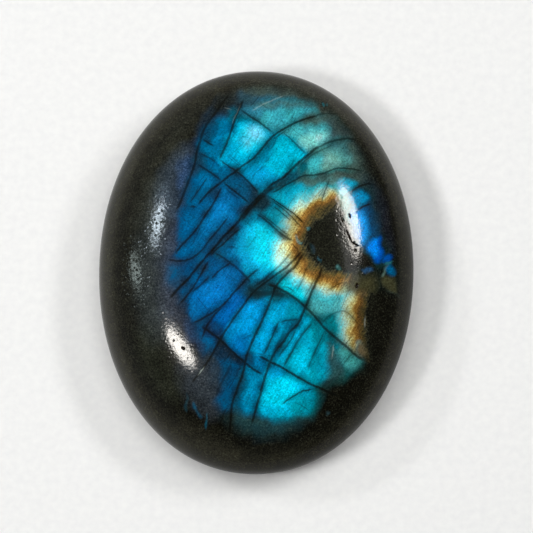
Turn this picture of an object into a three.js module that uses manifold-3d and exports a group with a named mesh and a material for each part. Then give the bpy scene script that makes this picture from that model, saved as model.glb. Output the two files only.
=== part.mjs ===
// A polished labradorite palm stone, cut and tumbled from one piece of feldspar.
// It is an oval pillow: a domed crown above the girdle, a shallower belly below it,
// and a small flat ground under the belly, on which the stone lies.
// Millimetres, +Z up, +Y along the length. The origin is the middle of the resting flat.

import * as THREE from "three";
import { mergeVertices } from "three/addons/utils/BufferGeometryUtils.js";
import Module from "manifold-3d";

// Driving dimensions
const LENGTH = 64.2;
const WIDTH = 50;
const CROWN_HEIGHT = 12; // from the girdle to the top
const BELLY_HEIGHT = 6; // from the resting flat to the girdle

// How square each curve is: 2 is an ellipse, and more fills its corners out
const OUTLINE_FULLNESS = 2.07;
const CROWN_FULLNESS = 2.2;
const BELLY_FULLNESS = 2.3;

// The resting flat's size, as a share of the outline's
const FLAT_SHARE = 0.42;

// How finely the curves are divided
const STEPS_AROUND = 112;
const STEPS_UP_CROWN = 18;
const STEPS_DOWN_BELLY = 14;
const PIT_DETAIL = 1;
const SLOPE_STEP = 0.01; // how far apart two heights are taken, to find the crown's slope

// Open pits and the fissure that the polish left in the crown. x and y are seen from above,
// from the middle of the stone, and turn is the long side's angle from +X, in degrees.
const PITS = [
  { x: 14.3, y: 5.2, long: 2.3, wide: 0.34, deep: 0.3, turn: -64 },
  { x: 15.3, y: 4.0, long: 1.6, wide: 0.36, deep: 0.3, turn: -27 },
  { x: 14.4, y: 8.4, long: 0.9, wide: 0.4, deep: 0.2, turn: -74 },
  { x: 13.2, y: 7.7, long: 0.9, wide: 0.3, deep: 0.2, turn: -80 },
  { x: 15.4, y: 3.0, long: 0.6, wide: 0.4, deep: 0.2, turn: -50 },
  { x: 15.7, y: -2.5, long: 1.0, wide: 0.5, deep: 0.25, turn: 80 },
  { x: -11.1, y: -12.8, long: 0.8, wide: 0.45, deep: 0.25, turn: -32 },
];

const STONE_COLOUR = 0x26272a;
const STONE_ROUGHNESS = 0.18;

const wasm = await Module();
wasm.setup();

// The belly's full depth, if it weren't ground flat, so that the flat is FLAT_SHARE across.
const fullBelly = BELLY_HEIGHT / (1 - FLAT_SHARE ** BELLY_FULLNESS) ** (1 / BELLY_FULLNESS);

// A point of a quarter curve, from its pole at angle 0 to the girdle at a quarter turn.
// share is the distance from the axis, 0 to 1, and rise is the height, 1 to 0.
function quarterCurve(angle, fullness) {
  return {
    share: Math.abs(Math.sin(angle)) ** (2 / fullness),
    rise: Math.abs(Math.cos(angle)) ** (2 / fullness),
  };
}

// The stone's half section, from the middle of the flat up to the top of the crown.
function sectionPoints() {
  const points = [new THREE.Vector2(0, 0), new THREE.Vector2(FLAT_SHARE, 0)];
  const flatAngle = Math.asin(FLAT_SHARE ** (BELLY_FULLNESS / 2));
  for (let i = 1; i <= STEPS_DOWN_BELLY; i++) {
    const angle = flatAngle + ((Math.PI / 2 - flatAngle) * i) / STEPS_DOWN_BELLY;
    const { share, rise } = quarterCurve(angle, BELLY_FULLNESS);
    points.push(new THREE.Vector2(share, BELLY_HEIGHT - fullBelly * rise));
  }
  for (let i = STEPS_UP_CROWN - 1; i > 0; i--) {
    const angle = ((Math.PI / 2) * i) / STEPS_UP_CROWN;
    const { share, rise } = quarterCurve(angle, CROWN_FULLNESS);
    points.push(new THREE.Vector2(share, BELLY_HEIGHT + CROWN_HEIGHT * rise));
  }
  points.push(new THREE.Vector2(0, BELLY_HEIGHT + CROWN_HEIGHT));
  return points;
}

// The round body turned from the section, then drawn out to the oval outline.
function pillow() {
  const geometry = new THREE.LatheGeometry(sectionPoints(), STEPS_AROUND);
  geometry.rotateX(Math.PI / 2);
  const position = geometry.getAttribute("position");
  const cornerPower = 2 / OUTLINE_FULLNESS;
  for (let i = 0; i < position.count; i++) {
    const share = Math.hypot(position.getX(i), position.getY(i));
    const angle = Math.atan2(position.getY(i), position.getX(i));
    const across = Math.sign(Math.cos(angle)) * Math.abs(Math.cos(angle)) ** cornerPower;
    const along = Math.sign(Math.sin(angle)) * Math.abs(Math.sin(angle)) ** cornerPower;
    position.setX(i, share * across * (WIDTH / 2));
    position.setY(i, share * along * (LENGTH / 2));
  }
  return geometry;
}

// The crown's height and outward normal above a point of the plan.
function crownAt(x, y) {
  const heightAt = (u, v) => {
    const across = (Math.abs(u) / (WIDTH / 2)) ** OUTLINE_FULLNESS;
    const along = (Math.abs(v) / (LENGTH / 2)) ** OUTLINE_FULLNESS;
    const share = (across + along) ** (1 / OUTLINE_FULLNESS);
    return BELLY_HEIGHT + CROWN_HEIGHT * (1 - share ** CROWN_FULLNESS) ** (1 / CROWN_FULLNESS);
  };
  const slopeX = (heightAt(x + SLOPE_STEP, y) - heightAt(x - SLOPE_STEP, y)) / (2 * SLOPE_STEP);
  const slopeY = (heightAt(x, y + SLOPE_STEP) - heightAt(x, y - SLOPE_STEP)) / (2 * SLOPE_STEP);
  return {
    point: new THREE.Vector3(x, y, heightAt(x, y)),
    normal: new THREE.Vector3(-slopeX, -slopeY, 1).normalize(),
  };
}

// A low-polygon ellipsoid sunk half into the crown, which is cut away to leave the pit.
function pitCutter({ x, y, long, wide, deep, turn }) {
  const cutter = new THREE.Mesh(new THREE.IcosahedronGeometry(1, PIT_DETAIL));
  const { point, normal } = crownAt(x, y);
  const up = new THREE.Vector3(0, 0, 1);
  const tilt = new THREE.Quaternion().setFromUnitVectors(up, normal);
  const spin = new THREE.Quaternion().setFromAxisAngle(up, THREE.MathUtils.degToRad(turn));
  cutter.position.copy(point);
  cutter.quaternion.copy(tilt.multiply(spin));
  cutter.scale.set(long / 2, wide / 2, deep);
  cutter.updateMatrix();
  return cutter.geometry.applyMatrix4(cutter.matrix);
}

// A closed geometry as a manifold-3d solid, with its shared vertices merged.
function solidOf(geometry) {
  geometry.deleteAttribute("normal");
  geometry.deleteAttribute("uv");
  const merged = mergeVertices(geometry);
  return new wasm.Manifold(
    new wasm.Mesh({
      numProp: 3,
      vertProperties: merged.getAttribute("position").array,
      triVerts: new Uint32Array(merged.index.array),
    }),
  );
}

function geometryOf(solid) {
  const { vertProperties, triVerts } = solid.getMesh();
  const geometry = new THREE.BufferGeometry();
  geometry.setAttribute("position", new THREE.BufferAttribute(vertProperties, 3));
  geometry.setIndex(new THREE.BufferAttribute(triVerts, 1));
  geometry.computeVertexNormals();
  return geometry;
}

function stone() {
  let solid = solidOf(pillow());
  for (const pit of PITS) solid = solid.subtract(solidOf(pitCutter(pit)));
  const material = new THREE.MeshStandardMaterial({
    color: STONE_COLOUR,
    roughness: STONE_ROUGHNESS,
    metalness: 0,
  });
  const mesh = new THREE.Mesh(geometryOf(solid), material);
  mesh.name = "stone";
  return mesh;
}

const labradorite = new THREE.Group();
labradorite.add(stone());

export default labradorite;
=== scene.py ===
"""A polished labradorite palm stone on a plain pale table, seen from above in soft studio light.

Lengths are millimetres until a mesh, light or camera is made. x runs across the stone, y along it
and z up, from the middle of its resting flat.
"""

import math

import bpy
import numpy as np
from mathutils import Matrix, Quaternion, Vector


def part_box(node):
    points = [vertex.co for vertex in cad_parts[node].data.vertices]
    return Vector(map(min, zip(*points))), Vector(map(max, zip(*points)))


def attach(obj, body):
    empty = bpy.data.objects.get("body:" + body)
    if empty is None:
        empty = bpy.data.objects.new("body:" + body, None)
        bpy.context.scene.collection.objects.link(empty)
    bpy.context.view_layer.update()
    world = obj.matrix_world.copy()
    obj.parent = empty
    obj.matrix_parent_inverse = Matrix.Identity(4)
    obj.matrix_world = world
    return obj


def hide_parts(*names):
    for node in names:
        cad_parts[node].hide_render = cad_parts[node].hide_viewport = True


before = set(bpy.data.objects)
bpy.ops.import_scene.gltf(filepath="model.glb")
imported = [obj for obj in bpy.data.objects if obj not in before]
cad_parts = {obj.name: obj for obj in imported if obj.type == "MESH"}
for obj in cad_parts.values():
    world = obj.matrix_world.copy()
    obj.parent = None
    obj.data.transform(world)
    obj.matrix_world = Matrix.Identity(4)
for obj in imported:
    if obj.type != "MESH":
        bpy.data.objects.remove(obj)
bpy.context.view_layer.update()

MM = 0.001
STONE_LOW, STONE_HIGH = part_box("stone")

# The pillow's form, as it was ground: half sizes from the frame, and how square each curve is
HALF_WIDTH = (STONE_HIGH[0] - STONE_LOW[0]) / 2 / MM
HALF_LENGTH = (STONE_HIGH[1] - STONE_LOW[1]) / 2 / MM
GIRDLE = 6.0
CROWN_HEIGHT = STONE_HIGH[2] / MM - GIRDLE
OUTLINE_FULLNESS = 2.07
CROWN_FULLNESS = 2.2
BELLY_FULLNESS = 2.3
FLAT_SHARE = 0.42

# How finely the surface is made
CROWN_CELLS = 272
BELLY_RINGS = 14
CURVE_STEPS = 6000
# Steps up count for less than steps out, so that the crown's top has most of the vertices
CLIMB_WEIGHT = 0.45
# What counts as the crown: all that is higher than this below the girdle
GIRDLE_MARGIN = 0.01

# Open pits and the fissure in the polish. turn is the long side's angle from x, in degrees.
PITS = {
    "fissure, upper run": {"at": (14.3, 5.2), "long": 2.3, "wide": 0.26, "deep": 0.2, "turn": -64},
    "fissure, lower run": {"at": (15.3, 4.0), "long": 1.6, "wide": 0.26, "deep": 0.2, "turn": -27},
    "pit above the fissure": {"at": (14.4, 8.4), "long": 0.9, "wide": 0.4, "deep": 0.15, "turn": -74},
    "slit beside it": {"at": (13.2, 7.7), "long": 0.9, "wide": 0.3, "deep": 0.15, "turn": -80},
    "pit below the fissure": {"at": (15.4, 3.0), "long": 0.6, "wide": 0.4, "deep": 0.15, "turn": -50},
    "pit at the right": {"at": (15.7, -2.5), "long": 1.0, "wide": 0.5, "deep": 0.18, "turn": 80},
    "pit at the left": {"at": (-11.1, -12.8), "long": 0.8, "wide": 0.45, "deep": 0.18, "turn": -32},
}
# How far round a pit the crown is divided more finely, in mm, and how often each cell is halved
PIT_MARGIN = 0.6
PIT_HALVINGS = 2
# Where a pit's floor ends, and how far out its wall is looked for, as shares of its rim
PIT_FLOOR = 0.25
PIT_REACH = 1.6
# Dark brown fills a pit out to here, and fades to there: partly dirt and partly painted shade in the pit
DIRT_AND_SHADE_START = 0.7
DIRT_AND_SHADE_END = 1.15

# Healed fractures inside the stone, which show as dark lines under the polish. path is seen from
# above, width is the line's, dark is how much light it takes away, and halo is how far its
# shadow spreads.
CRACKS = {
    "left seam": {
        "path": [(-4.6, 28.2), (-5.8, 26.6), (-6.7, 25.2), (-7.5, 24.0), (-8.3, 22.8), (-8.9, 21.4),
                 (-9.2, 20.2), (-9.7, 18.4), (-9.9, 16.8), (-10.4, 15.0), (-11.0, 13.2), (-11.6, 11.6),
                 (-12.1, 10.2), (-12.8, 8.6)],
        "width": 0.38, "dark": 0.8, "halo": 0.8},
    "upper long crack": {
        "path": [(-3.2, 25.5), (-2.2, 24.7), (-1.0, 23.9), (0.3, 23.0), (1.2, 22.3), (2.3, 21.5)],
        "width": 0.28, "dark": 0.8, "halo": 0.3},
    "upper long crack, far half": {
        "path": [(3.5, 21.9), (4.4, 21.1), (5.4, 20.2), (6.5, 19.1), (7.6, 18.1)],
        "width": 0.24, "dark": 0.65, "halo": 0.3},
    "left rib": {
        "path": [(-2.5, 27.4), (-3.0, 26.0), (-3.6, 24.5), (-4.0, 23.2), (-4.4, 21.8), (-4.9, 20.2),
                 (-5.4, 18.9), (-5.9, 17.8), (-6.3, 16.8)],
        "width": 0.32, "dark": 0.85, "halo": 0.35},
    "first rung": {
        "path": [(-9.1, 20.6), (-8.0, 19.8), (-6.8, 19.1)], "width": 0.25, "dark": 0.85, "halo": 0.2},
    "second rung": {
        "path": [(-9.5, 18.3), (-8.2, 17.6), (-7.2, 17.0), (-6.4, 16.3)],
        "width": 0.2, "dark": 0.6, "halo": 0.2},
    "third rung": {
        "path": [(-9.8, 16.5), (-8.6, 15.7), (-7.4, 14.9), (-6.3, 14.1), (-5.6, 13.5)],
        "width": 0.28, "dark": 0.8, "halo": 0.3},
    "third rung, beyond the main rib": {
        "path": [(-5.6, 13.5), (-4.2, 12.4), (-3.0, 11.5), (-2.0, 10.7), (-1.2, 10.0)],
        "width": 0.3, "dark": 0.85, "halo": 0.3},
    "third rung's twin": {
        "path": [(-5.3, 12.6), (-4.3, 11.8), (-3.3, 11.1), (-2.4, 10.5)],
        "width": 0.16, "dark": 0.5, "halo": 0.3},
    "fourth rung": {
        "path": [(-6.3, 17.2), (-5.0, 16.2), (-3.9, 15.5), (-3.1, 14.9), (-2.2, 14.2), (-1.3, 13.3),
                 (-0.5, 12.4), (0.2, 11.6)],
        "width": 0.26, "dark": 0.8, "halo": 0.45},
    "faint rung": {
        "path": [(-5.0, 18.1), (-4.0, 17.3), (-3.2, 16.6), (-2.6, 16.0)],
        "width": 0.12, "dark": 0.45, "halo": 0.2},
    "upper main rib": {
        "path": [(9.4, 24.9), (8.4, 24.5), (7.0, 24.0), (5.5, 23.3), (4.2, 22.5), (3.0, 21.7), (2.0, 20.9),
                 (1.0, 19.7), (0.2, 18.6), (-0.8, 17.4), (-1.8, 16.6), (-2.9, 15.8), (-3.8, 15.0),
                 (-4.8, 14.3), (-5.7, 13.5), (-6.8, 12.6), (-7.8, 11.7), (-8.7, 10.6), (-9.5, 9.5)],
        "width": 0.34, "dark": 0.9, "halo": 0.42},
    "upper main rib's faint end": {
        "path": [(12.4, 25.2), (10.8, 25.2), (9.6, 25.0), (8.2, 24.4)],
        "width": 0.26, "dark": 0.6, "halo": 0.3},
    "upper main rib's twin": {
        "path": [(4.6, 22.4), (3.6, 21.6), (2.6, 20.8), (1.9, 20.2)],
        "width": 0.15, "dark": 0.7, "halo": 0.2},
    "hook under the main rib": {
        "path": [(-9.1, 9.4), (-10.0, 9.5), (-11.0, 9.6)], "width": 0.26, "dark": 0.8, "halo": 0.3},
    "long left crack": {
        "path": [(-5.5, 13.0), (-5.9, 12.2), (-6.5, 10.9), (-7.1, 9.7), (-7.8, 8.7), (-8.5, 7.5),
                 (-9.1, 6.5), (-9.8, 5.5), (-10.6, 4.6), (-11.4, 3.7), (-12.2, 2.8), (-13.0, 1.9)],
        "width": 0.3, "dark": 0.88, "halo": 0.35},
    "thin left crack": {
        "path": [(-7.8, 14.4), (-8.4, 13.5), (-9.2, 12.3), (-10.0, 11.0), (-10.8, 9.9)],
        "width": 0.16, "dark": 0.75, "halo": 0.2},
    "great rib": {
        "path": [(9.9, 19.8), (8.7, 19.1), (7.6, 18.1), (6.6, 17.2), (5.6, 16.2), (4.7, 15.2), (3.9, 14.4),
                 (3.0, 13.8), (2.1, 13.2), (1.2, 12.3), (0.2, 11.3), (-0.8, 10.2), (-1.7, 9.1), (-2.6, 7.8),
                 (-3.6, 6.5), (-4.6, 5.5), (-5.4, 4.6), (-6.2, 3.5), (-7.2, 2.4), (-8.2, 1.2), (-9.1, 0.1),
                 (-10.0, -1.1), (-10.9, -2.2), (-12.0, -3.3), (-12.9, -4.4), (-13.6, -5.3)],
        "width": 0.4, "dark": 0.93, "halo": 0.5},
    "great rib's right end": {
        "path": [(15.4, 21.0), (14.2, 21.2), (12.6, 20.9), (11.2, 20.5), (9.9, 19.8), (8.7, 19.1)],
        "width": 0.3, "dark": 0.75, "halo": 0.3},
    "great rib's dark middle": {
        "path": [(2.6, 13.2), (1.7, 12.5), (0.4, 11.2), (-1.0, 9.7), (-2.1, 8.3), (-3.0, 7.1)],
        "width": 0.9, "dark": 0.9, "halo": 0.9},
    "great rib's upper twin": {
        "path": [(11.6, 20.1), (10.5, 19.4), (9.5, 18.9), (8.5, 18.3), (7.6, 17.6), (6.9, 16.9), (6.2, 16.1)],
        "width": 0.2, "dark": 0.48, "halo": 0.15},
    "great rib's lower twin": {
        "path": [(-2.4, 6.3), (-3.4, 5.5), (-4.4, 4.5), (-5.4, 3.5), (-6.5, 2.6), (-7.4, 1.5)],
        "width": 0.26, "dark": 0.85, "halo": 0.65},
    "branch over the eye": {
        "path": [(16.5, 15.9), (14.5, 16.2), (12.6, 16.2), (11.7, 16.0), (10.9, 15.6), (10.0, 15.2),
                 (8.5, 14.9), (7.2, 14.8), (6.2, 14.3), (5.0, 13.6), (4.0, 13.0), (3.0, 12.3), (1.8, 11.7)],
        "width": 0.26, "dark": 0.8, "halo": 0.55},
    "first hair above the eye": {
        "path": [(1.5, 11.4), (3.0, 10.4), (4.2, 9.6), (5.4, 8.8), (6.3, 8.0), (7.4, 6.9)],
        "width": 0.17, "dark": 0.95, "halo": 0.15},
    "second hair above the eye": {
        "path": [(1.9, 10.8), (3.2, 9.9), (4.3, 9.0), (5.3, 8.1), (6.2, 7.2), (7.0, 6.3)],
        "width": 0.16, "dark": 0.75, "halo": 0.15},
    "third hair above the eye": {
        "path": [(2.1, 10.0), (3.4, 9.0), (4.6, 8.0), (5.4, 7.3)], "width": 0.12, "dark": 0.8, "halo": 0.2},
    "thick crack into the eye": {
        "path": [(-0.5, 8.7), (0.6, 8.0), (1.6, 7.2), (2.4, 6.5), (3.2, 5.8), (4.1, 5.1), (5.0, 4.6),
                 (6.0, 4.3)],
        "width": 0.32, "dark": 0.8, "halo": 0.3},
    "thick crack's twin": {
        "path": [(-0.1, 8.9), (1.0, 8.1), (2.1, 7.3), (3.1, 6.5), (4.1, 5.7), (5.2, 5.1)],
        "width": 0.13, "dark": 0.6, "halo": 0.15},
    "thick crack's branch": {
        "path": [(2.1, 6.4), (3.0, 5.6), (3.8, 5.0), (4.8, 4.2)], "width": 0.2, "dark": 0.55, "halo": 0.3},
    "hair in the gold": {
        "path": [(5.1, 4.2), (5.9, 3.4), (6.7, 2.6)], "width": 0.15, "dark": 0.6, "halo": 0.1},
    "crack above the eye": {
        "path": [(11.2, 14.5), (10.7, 13.2), (10.3, 12.1), (10.0, 11.0), (9.9, 10.0)],
        "width": 0.22, "dark": 0.7, "halo": 0.2},
    "hair at the eye's top": {
        "path": [(12.9, 11.2), (12.3, 10.5), (11.4, 9.5)], "width": 0.16, "dark": 0.7, "halo": 0.1},
    "short hair in the gold": {
        "path": [(7.1, 10.3), (7.6, 9.7), (8.3, 9.0)], "width": 0.12, "dark": 0.5, "halo": 0.1},
    "upper right arc": {
        "path": [(14.2, 12.1), (15.0, 12.9), (15.9, 13.5), (17.0, 13.9), (18.0, 14.0)],
        "width": 0.24, "dark": 0.85, "halo": 0.3},
    "lower right arc": {
        "path": [(15.3, 9.3), (16.1, 10.0), (17.0, 10.5), (18.1, 10.8)],
        "width": 0.28, "dark": 0.9, "halo": 0.3},
    "left loop": {
        "path": [(-4.4, 8.0), (-5.2, 7.1), (-6.0, 6.0), (-6.9, 4.9), (-7.7, 3.9), (-8.4, 2.8), (-9.2, 2.0),
                 (-10.2, 1.3), (-11.2, 1.0), (-12.5, 0.9), (-14.2, 1.2)],
        "width": 0.28, "dark": 0.8, "halo": 0.35},
    "short bar": {"path": [(-5.0, 3.1), (-4.0, 3.2), (-2.9, 3.1)], "width": 0.18, "dark": 0.6, "halo": 0.2},
    "middle rung": {
        "path": [(-6.9, 2.4), (-5.6, 1.7), (-4.4, 0.9), (-3.3, 0.1), (-2.3, -0.8), (-1.5, -1.6),
                 (-0.6, -2.6)],
        "width": 0.3, "dark": 0.7, "halo": 0.6},
    "left fan, first": {
        "path": [(-3.6, 1.1), (-4.4, 0.5), (-5.1, 0.0), (-5.9, -0.6), (-6.6, -1.4), (-7.3, -2.2)],
        "width": 0.24, "dark": 0.8, "halo": 0.2},
    "left fan, second": {
        "path": [(-7.0, -1.2), (-7.7, -1.9), (-8.5, -2.7), (-9.4, -3.5), (-10.3, -4.2)],
        "width": 0.22, "dark": 0.75, "halo": 0.2},
    "left fan, third": {
        "path": [(-7.3, 1.3), (-7.9, 0.2), (-8.5, -0.9), (-9.2, -2.2), (-9.8, -3.2), (-10.5, -4.2),
                 (-11.2, -5.1), (-12.1, -6.1)],
        "width": 0.28, "dark": 0.88, "halo": 0.3},
    "crescent": {
        "path": [(0.6, 0.0), (-0.4, -0.7), (-1.3, -1.5), (-2.0, -2.3), (-2.7, -3.1), (-3.5, -4.0),
                 (-4.3, -5.0), (-5.1, -5.9), (-6.0, -6.6), (-7.0, -7.3), (-8.0, -7.9), (-9.0, -8.5),
                 (-10.0, -8.9)],
        "width": 0.3, "dark": 0.86, "halo": 0.4},
    "crescent's branch": {
        "path": [(-4.9, -5.9), (-5.5, -6.5), (-6.2, -7.2), (-6.9, -8.2), (-7.6, -9.3), (-8.0, -10.3),
                 (-8.4, -11.5)],
        "width": 0.3, "dark": 0.85, "halo": 0.4},
    "first long diagonal, top": {
        "path": [(5.8, 3.1), (5.0, 2.1), (4.0, 0.9), (3.0, -0.1), (2.0, -1.0), (1.1, -1.9), (0.2, -2.6),
                 (-0.6, -3.2)],
        "width": 0.24, "dark": 0.55, "halo": 0.1},
    "second long diagonal": {
        "path": [(7.2, 3.1), (6.3, 2.0), (5.4, 1.0), (4.5, 0.1), (3.4, -0.7), (2.4, -1.5), (1.5, -2.2),
                 (0.6, -2.9), (-0.3, -3.7), (-1.2, -4.8), (-2.0, -6.0), (-3.0, -7.4), (-3.9, -8.8),
                 (-4.7, -10.0), (-5.3, -11.1), (-5.9, -12.2), (-6.5, -13.4), (-7.1, -14.4), (-7.8, -15.5),
                 (-8.8, -16.9), (-10.0, -18.4)],
        "width": 0.34, "dark": 0.88, "halo": 0.4},
    "third long diagonal": {
        "path": [(7.5, 2.6), (6.6, 1.5), (6.0, 0.4), (5.0, -0.5), (4.0, -1.6), (3.3, -2.4), (2.9, -3.1),
                 (2.6, -4.1), (2.2, -5.2), (1.7, -6.5), (1.2, -7.7), (0.7, -8.9), (0.1, -10.2),
                 (-0.5, -11.6), (-1.0, -12.9), (-1.4, -14.1), (-1.6, -15.4), (-1.9, -16.8), (-2.4, -18.2),
                 (-2.9, -19.7), (-3.3, -20.8), (-3.5, -22.2), (-3.6, -23.8), (-3.7, -26.2)],
        "width": 0.38, "dark": 0.9, "halo": 0.32},
    "green hair": {
        "path": [(8.0, 0.6), (7.5, -0.6), (7.1, -1.8), (6.6, -2.9), (6.1, -4.0)],
        "width": 0.15, "dark": 0.5, "halo": 0.2},
    "fourth long diagonal": {
        "path": [(10.2, 0.7), (9.8, -0.8), (9.3, -1.8), (8.9, -2.9), (8.4, -4.0), (8.1, -4.9), (7.7, -5.9),
                 (7.3, -6.9), (6.9, -7.9), (6.4, -8.8), (5.9, -9.3), (5.1, -10.1), (4.5, -11.2),
                 (3.9, -12.0), (3.1, -13.1), (2.5, -14.3), (2.1, -15.4), (1.8, -16.4), (1.5, -17.4),
                 (1.2, -18.5), (1.0, -19.6), (0.6, -20.8), (0.3, -22.0), (0.0, -23.2), (-0.4, -24.6)],
        "width": 0.38, "dark": 0.9, "halo": 0.34},
    "long cross crack": {
        "path": [(1.4, -2.5), (2.4, -2.7), (3.2, -3.0), (4.0, -3.4), (4.8, -3.8), (5.7, -4.4), (6.8, -5.2),
                 (7.7, -6.0), (8.7, -6.9), (9.5, -7.8), (10.3, -8.7), (11.2, -9.6), (12.2, -10.4),
                 (13.2, -11.2), (14.2, -11.9), (15.2, -12.8), (16.1, -13.5), (17.2, -14.1)],
        "width": 0.38, "dark": 0.87, "halo": 0.35},
    "small loop": {
        "path": [(3.6, -3.1), (4.3, -2.9), (5.0, -3.0), (5.6, -3.4), (6.1, -4.0)],
        "width": 0.14, "dark": 0.7, "halo": 0.1},
    "dark shelf": {
        "path": [(-1.6, -2.6), (-0.4, -3.7), (1.0, -4.0), (2.4, -3.9), (3.8, -4.2), (4.9, -4.2)],
        "width": 0.8, "dark": 0.6, "halo": 0.8},
    "short rung": {
        "path": [(6.9, -7.9), (5.8, -8.0), (4.8, -8.1), (4.0, -8.4), (3.4, -8.7)],
        "width": 0.18, "dark": 0.75, "halo": 0.2},
    "inner diagonal": {
        "path": [(3.7, -8.0), (3.3, -9.0), (2.8, -10.2), (2.3, -11.4), (1.8, -12.6), (1.2, -13.8)],
        "width": 0.24, "dark": 0.82, "halo": 0.2},
    "dim diagonal": {
        "path": [(5.9, -8.2), (5.4, -9.3), (4.8, -10.2), (4.0, -11.2), (3.3, -12.2), (2.7, -13.3)],
        "width": 0.3, "dark": 0.5, "halo": 0.5},
    "right inner diagonal": {
        "path": [(6.3, -9.3), (5.8, -10.6), (5.1, -11.8), (4.3, -12.9), (3.5, -14.1)],
        "width": 0.22, "dark": 0.7, "halo": 0.2},
    "right diagonal": {
        "path": [(8.9, -8.1), (8.2, -9.1), (7.3, -10.2), (6.4, -11.6), (5.8, -12.8), (5.1, -14.0),
                 (4.4, -15.5)],
        "width": 0.28, "dark": 0.76, "halo": 0.25},
    "far right diagonal": {
        "path": [(10.9, -9.3), (10.4, -10.4), (9.9, -11.5), (9.4, -12.7), (8.8, -14.1), (8.2, -15.9)],
        "width": 0.24, "dark": 0.6, "halo": 0.3},
    "faint right curve": {
        "path": [(10.2, -8.6), (11.0, -7.6), (11.9, -6.9), (12.9, -6.5), (13.9, -6.4), (14.8, -7.1),
                 (15.6, -7.9), (16.5, -8.8)],
        "width": 0.16, "dark": 0.5, "halo": 0.2},
    "brown hair below the eye": {
        "path": [(14.0, -1.8), (12.8, -2.2), (11.8, -2.8), (10.7, -3.5)],
        "width": 0.15, "dark": 0.5, "halo": 0.15},
    "short right crack": {
        "path": [(15.2, -12.8), (14.6, -13.6), (13.7, -14.8)], "width": 0.16, "dark": 0.6, "halo": 0.15},
    "lower rung": {
        "path": [(0.3, -13.6), (1.2, -14.0), (2.1, -14.5), (3.0, -14.9), (4.1, -15.4), (5.1, -16.0),
                 (6.4, -16.7), (7.7, -17.4), (8.9, -18.0), (10.2, -18.5), (11.6, -19.1), (13.4, -19.8)],
        "width": 0.36, "dark": 0.95, "halo": 0.35},
    "left lower rung": {
        "path": [(-8.6, -9.0), (-7.9, -9.6), (-7.0, -10.2), (-6.0, -10.9), (-5.0, -11.7), (-4.0, -12.7),
                 (-3.0, -13.6), (-2.0, -14.4), (-1.3, -15.0), (-0.5, -15.6), (0.3, -16.1), (1.5, -16.7)],
        "width": 0.34, "dark": 0.9, "halo": 0.4},
    "thin bar": {
        "path": [(-0.2, -10.2), (-1.3, -10.8), (-2.4, -11.4)], "width": 0.14, "dark": 0.45, "halo": 0.15},
    "short spur": {
        "path": [(-3.0, -16.3), (-2.3, -15.8), (-1.6, -15.4)], "width": 0.2, "dark": 0.9, "halo": 0.2},
    "bottom branch": {
        "path": [(9.5, -18.5), (8.4, -18.9), (7.6, -19.0), (6.7, -19.5), (5.6, -20.2), (4.7, -20.9),
                 (4.0, -21.4)],
        "width": 0.2, "dark": 0.85, "halo": 0.2},
    "bottom left crack": {
        "path": [(-4.2, -21.6), (-4.8, -23.1), (-5.4, -24.7)], "width": 0.24, "dark": 0.65, "halo": 0.3},
    "blurred left crack": {
        "path": [(-3.6, -14.8), (-4.3, -16.5), (-5.0, -17.8), (-5.6, -19.2), (-6.1, -20.4)],
        "width": 0.4, "dark": 0.5, "halo": 0.5},
}

# The flash at each place has three values. glow is how bright its blue is, hue is how green it is next to
# that blue, from 0.1, violet blue, over 0.3, azure, and 0.7, cyan, to 1.2, sea green, and milk is how
# pale it is. The stone's thin layers are spaced wider towards the right, so the hue rises that way.
HUE_ACROSS = {-15.0: 0.32, -9.0: 0.40, -5.0: 0.41, 0.0: 0.52, 4.0: 0.68, 9.0: 0.86, 14.0: 1.0}
GLOW_ACROSS = {-14.0: 0.16, -10.0: 0.26, 12.0: 0.34, 15.0: 0.10, 17.5: 0.02}

# Where the flash shows at all, as an outline seen from above, and how soft that outline is
FLASH_OUTLINE = [
    (-4.4, 28.0), (-1.0, 28.8), (3.0, 28.8), (6.5, 27.6), (9.2, 26.4), (11.2, 24.8), (12.6, 23.0),
    (14.2, 20.8), (15.8, 18.0), (16.4, 15.6), (18.2, 13.6), (18.8, 10.0), (19.0, 7.0), (20.2, 4.8),
    (20.8, 2.8), (21.6, 1.0), (22.4, -0.8), (22.2, -3.2), (19.2, -3.6), (17.8, -6.0), (17.6, -10.0),
    (17.3, -13.2), (16.6, -15.0), (14.6, -16.4), (11.2, -17.8), (10.0, -19.4), (9.5, -21.6), (8.2, -23.6),
    (5.0, -25.6), (1.0, -26.2), (-2.5, -25.2), (-4.6, -23.4), (-5.8, -20.2), (-7.2, -16.0), (-8.6, -12.2),
    (-10.4, -8.4), (-12.2, -4.4), (-13.8, -2.0), (-13.8, 0.0), (-12.8, 4.0), (-12.5, 8.6), (-11.6, 11.6),
    (-10.9, 14.0), (-10.0, 17.0), (-9.6, 20.0), (-8.9, 22.6), (-7.2, 25.4),
]
FLASH_EDGE = 3.4
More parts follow.
